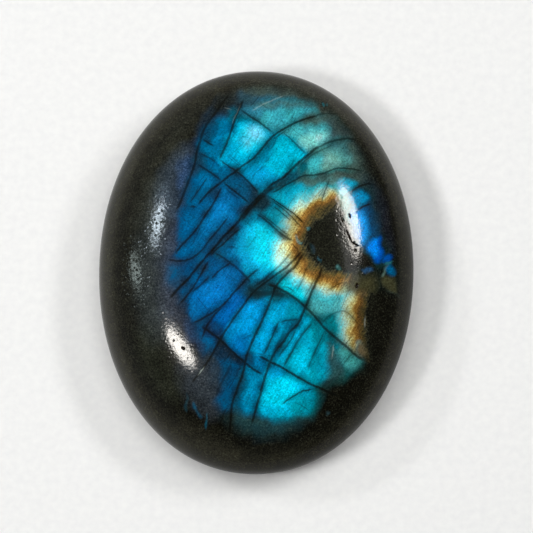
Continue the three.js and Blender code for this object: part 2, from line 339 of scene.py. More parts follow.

# Faint hazes over the dark body round the flash. Some are painted reflection haze round the left glints, as
# marked below; the others make the body paler, bluer or browner in places. colour is what each adds to the
# body's.
HAZES = {
    # Partly the flash's indigo fringe, partly painted reflection haze from the left back glint
    "indigo fringe and painted sheen beside the left seam": {
        "outline": [(-10.6, 19.6), (-10.4, 16.0), (-11.2, 12.0), (-12.4, 8.6), (-14.4, 8.0), (-15.8, 12.0),
                    (-14.2, 17.0)],
        "colour": "#1E2C3C", "edge": 3.0},
    "blue glow beside the left seam": {
        "outline": [(-10.8, 17.0), (-11.2, 14.6), (-12.0, 12.8), (-12.7, 13.6), (-12.4, 15.6), (-11.6, 17.4)],
        "colour": "#0C2C50", "edge": 1.8},
    "blue glow at the lower left": {
        "outline": [(-10.8, -8.4), (-8.8, -10.8), (-8.2, -12.6), (-9.6, -12.4), (-11.0, -10.4)],
        "colour": "#0A2846", "edge": 2.0},
    # Partly the flash's indigo fringe, partly painted reflection haze from the left glints
    "indigo fringe and painted sheen at the far left": {
        "outline": [(-12.0, 8.0), (-12.2, 2.0), (-12.6, -4.0), (-11.0, -9.0), (-14.0, -8.0), (-15.0, -2.0),
                    (-14.6, 5.0)],
        "colour": "#242C3C", "edge": 3.4},
    # Painted reflection haze round the left glints
    "painted reflection haze at the left": {
        "outline": [(-14.0, 10.0), (-14.2, 2.0), (-14.2, -5.0), (-12.6, -10.0), (-16.0, -11.0),
                    (-18.0, -6.0), (-18.4, 0.0), (-17.4, 8.0), (-16.0, 13.0)],
        "colour": "#272E31", "edge": 5.0},
    "haze at the lower left": {
        "outline": [(-10.4, -14.6), (-6.8, -15.4), (-6.0, -19.0), (-6.4, -23.0), (-8.4, -22.0),
                    (-10.6, -19.6), (-11.4, -16.4)],
        "colour": "#283038", "edge": 4.0},
    "haze along the top": {
        "outline": [(-6.0, 27.0), (0.0, 29.6), (6.0, 29.0), (11.0, 26.4), (14.6, 22.0), (17.4, 16.0),
                    (15.0, 15.6), (13.0, 20.6), (9.0, 25.0), (4.0, 27.0), (-2.0, 27.4)],
        "colour": "#1D2422", "edge": 3.4},
    "green haze at the lower left": {
        "outline": [(-19.0, -10.6), (-17.8, -15.4), (-14.8, -19.8), (-12.0, -21.2), (-11.6, -18.0),
                    (-13.6, -13.4), (-15.8, -9.4)],
        "colour": "#171A14", "edge": 3.4},
    "brown haze at the bottom": {
        "outline": [(-12.0, -25.4), (-8.0, -28.4), (-3.0, -29.8), (-2.4, -28.0), (-6.2, -25.8),
                    (-10.0, -23.8)],
        "colour": "#12110B", "edge": 2.4},
    "olive haze over the left and the top": {
        "outline": [(-27.0, -8.0), (-25.0, 16.0), (-14.0, 33.0), (4.0, 36.0), (20.0, 27.0), (27.0, 10.0),
                    (21.0, 12.0), (14.0, 23.0), (4.0, 27.5), (-8.0, 25.0), (-12.0, 12.0), (-13.0, -8.0)],
        "colour": "#0A0A07", "edge": 5.0},
    "indigo haze at the right": {
        "outline": [(15.6, 14.8), (17.4, 14.8), (19.6, 12.0), (20.8, 7.0), (21.6, 3.0), (20.4, 3.4),
                    (19.4, 6.4), (18.0, 10.4), (16.8, 13.0)],
        "colour": "#0A0E1D", "edge": 2.4},
    "haze at the upper left": {
        "outline": [(-9.6, 23.0), (-8.0, 27.0), (-14.0, 22.0), (-18.0, 14.0), (-20.0, 6.0), (-16.0, 8.0),
                    (-13.0, 14.0), (-11.0, 20.0)],
        "colour": "#1A1C17", "edge": 4.0},
}

# The body is a little paler and browner round the rim, from this share of the outline outwards: partly its
# own tone and partly painted reflection of the table in the polish
RIM_START = 0.86
RIM_FULL = 0.95
RIM_TONE_AND_SHEEN = "#1E1D14"

# Blocks between the fractures, each of which flashes in its own way. edge is how soft its outline is.
CELL_EDGE = 1.1
CELLS = {
    "left fade": {
        "outline": [(-16, 14), (-11.6, 13), (-12.2, 9.5), (-11.8, 4), (-11.2, 1), (-11.0, -2.5),
                    (-10.0, -7), (-8.4, -11), (-6.8, -17), (-16, -17)],
        "glow": 0.08, "hue": 0.38, "edge": 3.2},
    "upper left block": {
        "outline": [(-8.6, 22.6), (-6.8, 24.0), (-3.6, 24.4), (-4.4, 21.8), (-5.9, 17.8), (-9.0, 20.5)],
        "glow": 0.31, "hue": 0.5},
    "upper left block's edge": {
        "outline": [(-9.2, 21.4), (-7.6, 23.6), (-6.6, 22.4), (-8.0, 19.6)], "glow": 0.17, "hue": 0.48},
    "upper left block's shaded top": {
        "outline": [(-8.8, 23.0), (-6.6, 27.0), (-2.6, 27.6), (-3.8, 24.4), (-6.6, 23.9)],
        "glow": 0.055, "hue": 0.6, "milk": 0.3, "edge": 1.8},
    "rung block one": {
        "outline": [(-9.1, 20.3), (-5.9, 17.8), (-6.3, 16.6), (-9.6, 18.4)],
        "glow": 0.33, "hue": 0.5, "edge": 0.6},
    "rung block two": {
        "outline": [(-9.6, 18.4), (-6.3, 16.6), (-3.6, 15.3), (-5.6, 13.6), (-9.8, 16.4)],
        "glow": 0.26, "hue": 0.46, "edge": 0.6},
    "rung block two's left end": {
        "outline": [(-9.9, 18.2), (-8.0, 17.4), (-8.4, 15.6), (-10.2, 16.4)], "glow": 0.22, "hue": 0.48},
    "bright upper block": {
        "outline": [(-3.4, 24.9), (2.3, 21.4), (1.0, 19.6), (-0.8, 17.4), (-2.9, 15.8), (-6.2, 17.1),
                    (-4.4, 21.8)],
        "glow": 0.63, "hue": 0.62},
    "bright upper block's heart": {
        "outline": [(-2.4, 22.6), (0.2, 22.4), (0.9, 20.9), (-0.6, 18.8), (-2.8, 18.4), (-3.4, 20.6)],
        "glow": 0.76, "hue": 0.76, "edge": 2.6},
    "bright upper block's top": {
        "outline": [(-4.4, 25.6), (-1.4, 24.5), (-0.6, 23.6), (-2.2, 23.2), (-4.6, 23.4)],
        "glow": 0.16, "hue": 0.66, "edge": 1.6},
    "top block": {
        "outline": [(-1.6, 24.5), (0.6, 25.2), (3.6, 26.1), (7.4, 25.8), (8.6, 25.1), (4.2, 22.4),
                    (2.3, 21.5)],
        "glow": 0.4, "hue": 0.86, "milk": 0.1, "edge": 1.4},
    "top block's left side": {
        "outline": [(-3.6, 25.4), (-1.6, 26.0), (0.6, 25.5), (0.4, 24.2), (-1.2, 23.8)],
        "glow": 0.27, "hue": 0.7, "milk": 0.12, "edge": 1.2},
    "top block's middle": {
        "outline": [(-2.2, 26.1), (0.0, 26.9), (5.0, 27.1), (8.4, 26.7), (9.2, 25.7), (5.6, 25.9),
                    (0.6, 25.5)],
        "glow": 0.17, "hue": 0.92, "milk": 0.3, "edge": 1.6},
    "top block's far side": {
        "outline": [(-2.0, 27.3), (1.0, 27.4), (6.0, 27.3), (9.4, 26.6), (12.0, 25.2), (10.4, 31.0),
                    (-2.4, 31.0)],
        "glow": 0.07, "hue": 1.05, "milk": 0.5, "edge": 1.8},
    "top block's left end": {
        "outline": [(-3.8, 27.0), (-2.6, 25.9), (-0.8, 26.2), (-1.0, 27.8), (-3.0, 28.2)],
        "glow": 0.1, "hue": 0.68, "milk": 0.22, "edge": 1.4},
    "top left corner": {
        "outline": [(-7.0, 25.8), (-5.4, 29.6), (-2.8, 29.6), (-3.4, 27.4), (-4.2, 25.9)],
        "glow": 0.015, "hue": 0.7, "milk": 0.4, "edge": 1.6},
    "top block's right end": {
        "outline": [(9.0, 26.9), (11.0, 26.6), (13.6, 24.6), (12.6, 25.0), (9.4, 25.1)],
        "glow": 0.03, "hue": 1.15, "milk": 0.75},
    "pale right block": {
        "outline": [(3.4, 21.8), (7.0, 23.8), (10.6, 24.8), (14.4, 22.4), (13.8, 21.3), (9.9, 19.8),
                    (7.6, 18.2)],
        "glow": 0.46, "hue": 0.9, "milk": 0.12},
    "pale right block's shaded top": {
        "outline": [(6.0, 24.0), (8.4, 25.2), (11.4, 25.4), (12.4, 23.6), (9.8, 23.3), (7.2, 22.9)],
        "glow": 0.12, "hue": 1.1, "milk": 0.42, "edge": 1.8},
    "pale right block's heart": {
        "outline": [(6.2, 20.4), (7.4, 21.6), (9.8, 22.0), (11.4, 21.4), (10.2, 20.0), (8.6, 18.9),
                    (7.2, 19.0)],
        "glow": 0.6, "hue": 1.04, "milk": 0.3, "edge": 2.0},
    "pale right block's right end": {
        "outline": [(10.4, 24.2), (12.4, 24.4), (15.6, 21.6), (13.6, 21.0), (11.2, 20.8), (10.6, 22.6)],
        "glow": 0.075, "hue": 0.96, "milk": 0.45, "edge": 2.2},
    "upper middle block": {
        "outline": [(3.2, 21.6), (7.5, 18.1), (2.4, 13.3), (0.1, 11.8), (-3.2, 15.3), (-0.8, 17.2),
                    (1.0, 19.4)],
        "glow": 0.6, "hue": 0.72},
    "upper middle block's foot": {
        "outline": [(0.1, 11.8), (-3.0, 15.2), (-0.6, 16.6), (3.4, 14.6), (2.2, 13.0)],
        "glow": 0.56, "hue": 0.56, "edge": 1.8},
    "shaded strip under the upper rib": {
        "outline": [(2.4, 21.0), (2.2, 19.2), (1.2, 17.2), (-0.6, 16.2), (-2.4, 15.0), (-3.6, 15.4),
                    (-1.6, 16.8), (0.2, 18.6)],
        "glow": 0.34, "hue": 0.6, "edge": 1.4},
    "dim wedge": {
        "outline": [(-5.3, 13.4), (-3.4, 15.2), (-0.2, 12.2), (-1.4, 10.4)],
        "glow": 0.21, "hue": 0.46, "edge": 0.8},
    "wedge under the great rib": {
        "outline": [(1.8, 12.4), (4.2, 14.5), (6.4, 16.4), (6.6, 14.6), (5.0, 13.7), (2.0, 12.0)],
        "glow": 0.16, "hue": 0.64, "edge": 0.8},
    "green block": {
        "outline": [(6.2, 16.6), (7.6, 17.6), (9.9, 19.6), (14.0, 20.6), (16.0, 18.6), (15.4, 16.4),
                    (12.0, 16.3), (9.0, 15.1), (6.6, 14.9)],
        "glow": 0.26, "hue": 1.06, "milk": 0.27},
    "green block's teal side": {
        "outline": [(7.5, 16.8), (8.7, 18.3), (9.9, 17.8), (10.0, 15.8), (8.6, 15.0), (7.7, 15.4)],
        "glow": 0.54, "hue": 0.92, "milk": 0.1, "edge": 1.2},
    "green block's left corner": {
        "outline": [(6.1, 16.5), (7.0, 17.1), (7.8, 16.3), (7.4, 15.2), (6.4, 14.9)],
        "glow": 0.2, "hue": 0.78, "edge": 0.9},
    "green block's heart": {
        "outline": [(9.9, 17.8), (11.4, 18.4), (12.6, 17.4), (12.4, 16.4), (10.8, 15.9), (9.8, 15.8)],
        "glow": 0.38, "hue": 1.14, "milk": 0.37, "edge": 1.6},
    "green block's blue corner": {
        "outline": [(10.6, 20.4), (15.8, 20.9), (16.4, 18.6), (13.6, 18.6), (12.2, 19.4), (10.8, 19.6)],
        "glow": 0.14, "hue": 0.9, "milk": 0.25, "edge": 1.6},
    "green block's right foot": {
        "outline": [(13.8, 20.2), (15.4, 20.4), (16.8, 17.4), (16.8, 16.0), (14.0, 16.2), (14.4, 17.6)],
        "glow": 0.1, "hue": 1.1, "milk": 0.42, "edge": 1.2},
    "band under the branch": {
        "outline": [(5.6, 13.6), (7.4, 14.6), (11.0, 15.5), (13.4, 15.8), (12.8, 14.0), (11.0, 13.6),
                    (7.4, 13.0)],
        "glow": 0.15, "hue": 1.05, "milk": 0.36, "edge": 1.2},
    "band's right end": {
        "outline": [(11.6, 15.5), (16.4, 15.9), (16.8, 13.8), (15.4, 14.2), (12.2, 14.6)],
        "glow": 0.06, "hue": 1.1, "milk": 0.5, "edge": 1.4},
    "block over the eye": {
        "outline": [(2.0, 11.6), (5.4, 13.4), (7.4, 12.6), (6.4, 10.4), (5.8, 8.8), (3.0, 10.5)],
        "glow": 0.48, "hue": 0.7},
    "dim block beside the eye": {
        "outline": [(0.2, 10.6), (2.0, 10.6), (6.0, 7.4), (5.0, 5.2), (3.4, 5.8), (0.4, 8.2), (-0.8, 9.4)],
        "glow": 0.27, "hue": 0.7},
    "dark corner under the great rib": {
        "outline": [(-1.2, 9.6), (0.8, 11.6), (2.2, 10.4), (1.2, 9.0), (-0.6, 8.4)],
        "glow": 0.065, "hue": 0.6, "edge": 1.2},
    "left bar one": {
        "outline": [(-9.9, 16.2), (-8.0, 15.0), (-9.0, 12.6), (-10.8, 9.8), (-11.6, 11.4)],
        "glow": 0.29, "hue": 0.43},
    "left bar two": {
        "outline": [(-8.0, 15.0), (-5.8, 13.6), (-8.7, 10.6), (-9.6, 9.6), (-10.8, 9.9)],
        "glow": 0.3, "hue": 0.43},
    "left bar three": {
        "outline": [(-5.7, 13.2), (-8.6, 10.4), (-9.8, 9.3), (-12.2, 9.2), (-12.6, 2.8), (-9.8, 5.4),
                    (-7.1, 9.6)],
        "glow": 0.24, "hue": 0.4},
    "middle left block": {
        "outline": [(-5.2, 12.6), (-2.2, 10.6), (-2.0, 9.0), (-3.6, 6.6), (-5.2, 7.2), (-8.4, 2.9),
                    (-9.2, 2.0), (-11.6, 1.2), (-12.8, 2.0), (-9.8, 5.3), (-7.1, 9.6)],
        "glow": 0.29, "hue": 0.4},
    "middle left block's heart": {
        "outline": [(-6.8, 10.0), (-4.4, 10.2), (-3.8, 8.4), (-5.6, 6.8), (-7.8, 5.8), (-7.8, 7.8)],
        "glow": 0.42, "hue": 0.4, "edge": 2.4},
    "sunk wedge": {
        "outline": [(-4.4, 7.6), (-3.6, 6.5), (-5.4, 4.6), (-7.4, 2.4), (-8.4, 2.8), (-6.9, 4.9),
                    (-5.2, 7.0)],
        "glow": 0.28, "hue": 0.4, "edge": 0.7},
    "sliver beside the great rib": {
        "outline": [(-3.6, 6.4), (-2.4, 6.2), (-5.4, 3.4), (-7.4, 1.4), (-7.4, 2.3), (-5.4, 4.5)],
        "glow": 0.1, "hue": 0.43, "edge": 0.8},
    "bright middle block": {
        "outline": [(-2.2, 8.2), (0.6, 7.8), (4.6, 4.2), (3.4, 0.6), (0.8, -1.6), (-1.2, -1.4), (-3.4, 0.2),
                    (-6.4, 2.2), (-2.4, 6.2)],
        "glow": 0.54, "hue": 0.58},
    "bright middle block's top corner": {
        "outline": [(-2.6, 8.0), (-0.8, 9.1), (0.9, 8.2), (-0.3, 7.0), (-2.2, 6.6)],
        "glow": 0.27, "hue": 0.58, "edge": 1.4},
    "bright middle block's heart": {
        "outline": [(-0.6, 6.2), (2.4, 6.0), (4.4, 3.6), (3.8, 0.6), (1.6, 0.0), (-0.6, 2.2)],
        "glow": 0.82, "hue": 0.77, "edge": 2.8},
    "bright middle block's left foot": {
        "outline": [(-6.4, 2.4), (-4.0, 4.6), (-3.0, 2.2), (-2.4, -0.6), (-3.6, 0.2)],
        "glow": 0.3, "hue": 0.43, "edge": 2.0},
    "far left block": {
        "outline": [(-14.8, 0.4), (-12.6, 0.2), (-12.0, -2.0), (-13.0, -4.2), (-14.8, -3.4)],
        "glow": 0.16, "hue": 0.42, "edge": 1.6},
    "fan strip": {
        "outline": [(-8.2, 1.0), (-7.4, 1.0), (-10.6, -4.4), (-12.0, -5.8), (-13.4, -5.0), (-10.0, -1.2)],
        "glow": 0.23, "hue": 0.4, "edge": 0.8},
    "lower left block": {
        "outline": [(-7.2, 1.0), (-3.8, 0.8), (-1.6, -1.6), (-2.7, -3.1), (-4.3, -5.0), (-6.0, -6.6),
                    (-9.4, -8.6), (-10.4, -6.6), (-10.1, -4.2)],
        "glow": 0.33, "hue": 0.36},
    "lower left block's heart": {
        "outline": [(-8.6, -2.8), (-5.2, -2.0), (-4.0, -3.6), (-5.2, -5.2), (-7.4, -6.0), (-9.4, -4.8)],
        "glow": 0.5, "hue": 0.35, "edge": 2.0},
    "lower left block's dim top": {
        "outline": [(-7.4, 1.4), (-4.4, 1.2), (-6.8, -1.6), (-8.6, -2.4)],
        "glow": 0.22, "hue": 0.37, "edge": 1.4},
    "deep blue bar": {
        "outline": [(-2.0, -2.6), (-0.6, -3.6), (-1.3, -4.9), (-4.8, -10.2), (-5.6, -11.2), (-7.8, -9.6),
                    (-6.2, -7.2), (-4.3, -5.0)],
        "glow": 0.4, "hue": 0.3, "edge": 0.7},
    "deep blue bar's shaded end": {
        "outline": [(-1.6, -1.8), (-0.3, -3.4), (-1.6, -5.0), (-2.8, -3.8)],
        "glow": 0.2, "hue": 0.42, "edge": 1.4},
    "deep blue bar's foot": {
        "outline": [(-5.0, -8.8), (-4.6, -10.4), (-5.8, -11.6), (-8.0, -9.8), (-6.6, -8.2)],
        "glow": 0.15, "hue": 0.32, "edge": 1.6},
    "long blue bar": {
        "outline": [(-0.2, -4.0), (2.4, -4.2), (0.1, -10.2), (-1.2, -13.8), (-2.2, -14.3), (-5.4, -11.2)],
        "glow": 0.68, "hue": 0.45},
    "long blue bar's foot": {
        "outline": [(-1.6, -10.8), (-0.8, -13.0), (-1.8, -14.6), (-4.2, -12.4), (-3.6, -10.8)],
        "glow": 0.46, "hue": 0.38, "edge": 1.8},
    "long blue bar's shaded top": {
        "outline": [(-0.8, -2.6), (2.8, -2.4), (2.6, -4.8), (-1.2, -4.8)],
        "glow": 0.09, "hue": 0.63, "edge": 1.4},
    "middle bar": {
        "outline": [(2.7, -4.2), (7.4, -6.2), (6.7, -8.0), (3.6, -8.4), (1.2, -13.6), (0.1, -13.2),
                    (-0.9, -12.8), (0.9, -8.4)],
        "glow": 0.58, "hue": 0.57},
    "middle bar's shaded right": {
        "outline": [(5.2, -4.8), (7.6, -6.0), (6.8, -8.0), (4.6, -8.2)],
        "glow": 0.38, "hue": 0.64, "edge": 1.4},
    "middle bar's foot": {
        "outline": [(0.8, -8.6), (3.2, -8.8), (1.4, -13.4), (0.2, -13.4), (-0.4, -11.6)],
        "glow": 0.6, "hue": 0.53, "edge": 1.0},
    "dark place over the middle bar": {
        "outline": [(1.8, -2.8), (4.2, -3.4), (5.4, -4.4), (3.4, -5.2), (2.2, -4.6)],
        "glow": 0.17, "hue": 0.68, "edge": 1.2},
    "bright corner over the cross crack": {
        "outline": [(3.2, -2.4), (7.6, 0.2), (9.6, -2.2), (8.0, -5.8), (6.0, -4.4)],
        "glow": 0.72, "hue": 0.8},
    "pale corner below the eye": {
        "outline": [(7.8, -2.0), (10.4, -2.6), (11.2, -4.2), (10.0, -4.9), (8.0, -4.2)],
        "glow": 0.62, "hue": 1.15, "milk": 0.42, "edge": 1.6},
    "right upper block": {
        "outline": [(9.2, -3.4), (14.6, -2.6), (16.4, -13.4), (13.2, -11.0), (10.3, -8.6), (7.9, -6.1)],
        "glow": 0.4, "hue": 0.95, "milk": 0.15},
    "right upper block's milky side": {
        "outline": [(12.4, -4.0), (14.6, -4.0), (15.0, -9.4), (13.6, -10.0), (12.6, -7.6)],
        "glow": 0.19, "hue": 1.3, "milk": 0.42, "edge": 2.0},
    "right upper block's foot": {
        "outline": [(9.6, -7.2), (12.6, -7.0), (13.4, -10.8), (10.6, -10.6), (9.4, -8.8)],
        "glow": 0.18, "hue": 0.84, "edge": 1.6},
    "dim strip": {
        "outline": [(3.6, -8.6), (6.6, -8.2), (6.2, -9.6), (3.0, -14.0), (1.4, -13.9)],
        "glow": 0.38, "hue": 0.57},
    "strip beside the dim one": {
        "outline": [(3.4, -8.8), (4.6, -8.6), (2.4, -13.2), (1.3, -13.6)],
        "glow": 0.5, "hue": 0.56, "edge": 0.6},
    "right bar": {
        "outline": [(7.0, -7.8), (8.8, -8.2), (5.6, -13.2), (4.4, -15.3), (3.0, -14.7), (4.2, -13.0),
                    (6.2, -9.6)],
        "glow": 0.7, "hue": 0.63},
    "dim right block": {
        "outline": [(7.9, -6.3), (10.3, -8.9), (13.6, -11.6), (13.6, -14.6), (11.0, -17.4), (8.4, -15.6),
                    (10.6, -10.2), (8.9, -8.2), (7.4, -7.2)],
        "glow": 0.18, "hue": 0.8},
    "lower right block": {
        "outline": [(8.9, -8.3), (10.6, -9.6), (8.2, -16.0), (9.2, -18.0), (6.4, -16.6), (4.5, -15.5),
                    (5.8, -12.8)],
        "glow": 0.5, "hue": 0.7},
    "lower right block's shaded top": {
        "outline": [(8.9, -8.3), (11.2, -8.8), (11.2, -11.2), (9.4, -11.4)],
        "glow": 0.28, "hue": 0.74, "edge": 1.2},
    "lower right block's heart": {
        "outline": [(5.6, -13.8), (7.6, -12.6), (9.6, -14.4), (9.4, -16.8), (6.4, -16.0)],
        "glow": 0.72, "hue": 0.7, "edge": 2.0},
    "lower right block's right side": {
        "outline": [(9.2, -12.0), (11.2, -12.2), (11.6, -17.0), (9.8, -18.0), (8.6, -15.8)],
        "glow": 0.42, "hue": 0.72, "edge": 1.4},
    "right tip": {
        "outline": [(13.6, -11.8), (16.8, -13.8), (16.2, -15.4), (14.2, -15.4), (12.8, -13.6)],
        "glow": 0.28, "hue": 1.03, "milk": 0.15, "edge": 1.2},
    "slate veil": {
        "outline": [(11.2, -11.6), (13.0, -13.2), (14.0, -16.6), (10.8, -18.4), (11.4, -15.6)],
        "glow": 0.085, "hue": 0.9, "milk": 0.22, "edge": 1.6},
    "dark junction": {
        "outline": [(-5.2, -11.2), (-2.6, -13.4), (-1.2, -15.0), (-4.0, -15.4), (-6.6, -13.8), (-6.6, -12.2)],
        "glow": 0.045, "hue": 0.4, "edge": 1.6},
    "small block": {
        "outline": [(-0.9, -13.2), (1.6, -14.2), (1.8, -16.4), (-1.2, -15.0)], "glow": 0.4, "hue": 0.47},
    "small block's shaded corner": {
        "outline": [(-1.6, -13.4), (0.0, -13.6), (-0.4, -15.2), (-1.4, -14.8)],
        "glow": 0.12, "hue": 0.45, "edge": 1.0},
    "bottom left bar": {
        "outline": [(-6.0, -14.4), (-2.0, -15.6), (-3.0, -20.0), (-3.4, -22.0), (-5.2, -20.6), (-6.4, -17.0)],
        "glow": 0.16, "hue": 0.42, "edge": 1.2},
    "bottom left bar's dim side": {
        "outline": [(-7.6, -13.8), (-5.6, -14.4), (-5.2, -17.6), (-6.4, -20.6), (-8.6, -18.6)],
        "glow": 0.05, "hue": 0.55, "milk": 0.3, "edge": 1.4},
    "bottom middle bar": {
        "outline": [(-1.6, -15.6), (1.4, -16.8), (0.8, -20.4), (0.2, -22.4), (-3.2, -22.6), (-2.2, -17.8)],
        "glow": 0.45, "hue": 0.54},
    "bottom middle bar's dim side": {
        "outline": [(-2.0, -16.6), (-1.0, -17.6), (-1.8, -20.4), (-1.6, -23.2), (-3.6, -23.2), (-3.0, -19.6)],
        "glow": 0.16, "hue": 0.53, "edge": 1.2},
    "bottom bright block": {
        "outline": [(2.3, -14.7), (5.1, -16.1), (9.2, -18.2), (9.2, -19.0), (8.2, -22.0), (4.6, -23.2),
                    (0.6, -22.0), (1.4, -18.0)],
        "glow": 0.68, "hue": 0.68},
    "bottom bright block's heart": {
        "outline": [(2.4, -17.6), (5.6, -17.2), (6.4, -19.0), (4.6, -21.4), (2.0, -21.0)],
        "glow": 0.84, "hue": 0.74, "edge": 2.0},
    "bottom bright block's right side": {
        "outline": [(7.0, -19.8), (9.4, -18.8), (9.0, -21.6), (6.8, -22.8), (5.6, -21.8)],
        "glow": 0.42, "hue": 0.76, "edge": 1.6},
    "bottom bright block's blue top": {
        "outline": [(2.2, -14.6), (4.8, -16.0), (4.2, -16.8), (2.0, -17.0)],
        "glow": 0.74, "hue": 0.56, "edge": 1.0},
    "bottom fade": {
        "outline": [(-5.6, -22.6), (0.0, -22.9), (4.6, -23.8), (8.4, -22.8), (9.6, -25.6), (2.0, -27.4),
                    (-5.0, -26.4)],
        "glow": 0.05, "hue": 0.85, "milk": 0.2, "edge": 2.0},
    "dull strip between the dark places": {
        "outline": [(14.2, 0.6), (19.4, 0.6), (23.0, 0.4), (23.4, -3.6), (18.6, -3.8), (16.6, -3.2),
                    (14.6, -2.6)],
        "glow": 0.004, "hue": 1.0, "edge": 1.2},
}

# The two dark places that the flash stops at, with gold rings round them
EYE = [
    (8.15, 6.0), (8.5, 6.9), (9.1, 7.6), (9.8, 8.2), (10.5, 8.6), (11.6, 9.2), (13.0, 9.5), (14.2, 7.4),
    (15.2, 5.0), (16.6, 3.2), (18.0, 1.6), (18.6, 0.6), (17.0, 0.5), (15.0, 0.2), (13.2, -0.1),
    (12.1, -0.15), (11.2, 0.05), (10.3, 0.5), (9.35, 1.15), (8.6, 2.0), (8.15, 3.1), (7.95, 4.6),
]
SIDE_EYE = [
    (18.0, -3.8), (19.2, -3.2), (22.0, -4.6), (23.6, -8.0), (22.0, -13.0), (18.9, -15.2), (17.8, -12.4),
    (17.5, -8.0),
]
DARK_EDGE = 1.0
# How far the gold spreads from each dark place, in mm, and how bright it is, from bottom to top
RING_WIDTH_ALONG = {
    -4.0: 4.8, -3.0: 5.1, -1.5: 5.3, 0.0: 6.2, 2.5: 6.3, 4.5: 5.8, 6.5: 4.8, 9.0: 5.5, 11.0: 4.9,
}
RING_LIGHT_ALONG = {
    -14.0: 0.5, -10.0: 0.6, -6.0: 0.56, -3.5: 0.7, -1.0: 1.04, 1.0: 1.2, 4.5: 0.86, 6.5: 0.75, 8.0: 0.76,
    10.0: 0.82, 12.0: 0.62,
}
SIDE_RING_WIDTH = 5.1
RING_REACH = 8.0
# The gold shows only inside this outline
GOLD_OUTLINE = [
    (5.0, 13.0), (9.0, 13.4), (11.6, 12.8), (12.8, 11.4), (13.6, 9.0), (14.0, 5.0), (14.2, 0.6),
    (14.8, -1.8), (16.6, -2.8), (18.8, -4.0), (18.4, -9.0), (18.2, -13.6), (16.8, -13.4), (14.6, -12.2),
    (12.6, -11.0), (12.0, -6.0), (9.0, -5.0), (3.0, -3.0), (0.6, 2.0), (1.6, 7.0), (3.4, 10.4),
]
GOLD_EDGE = 1.5

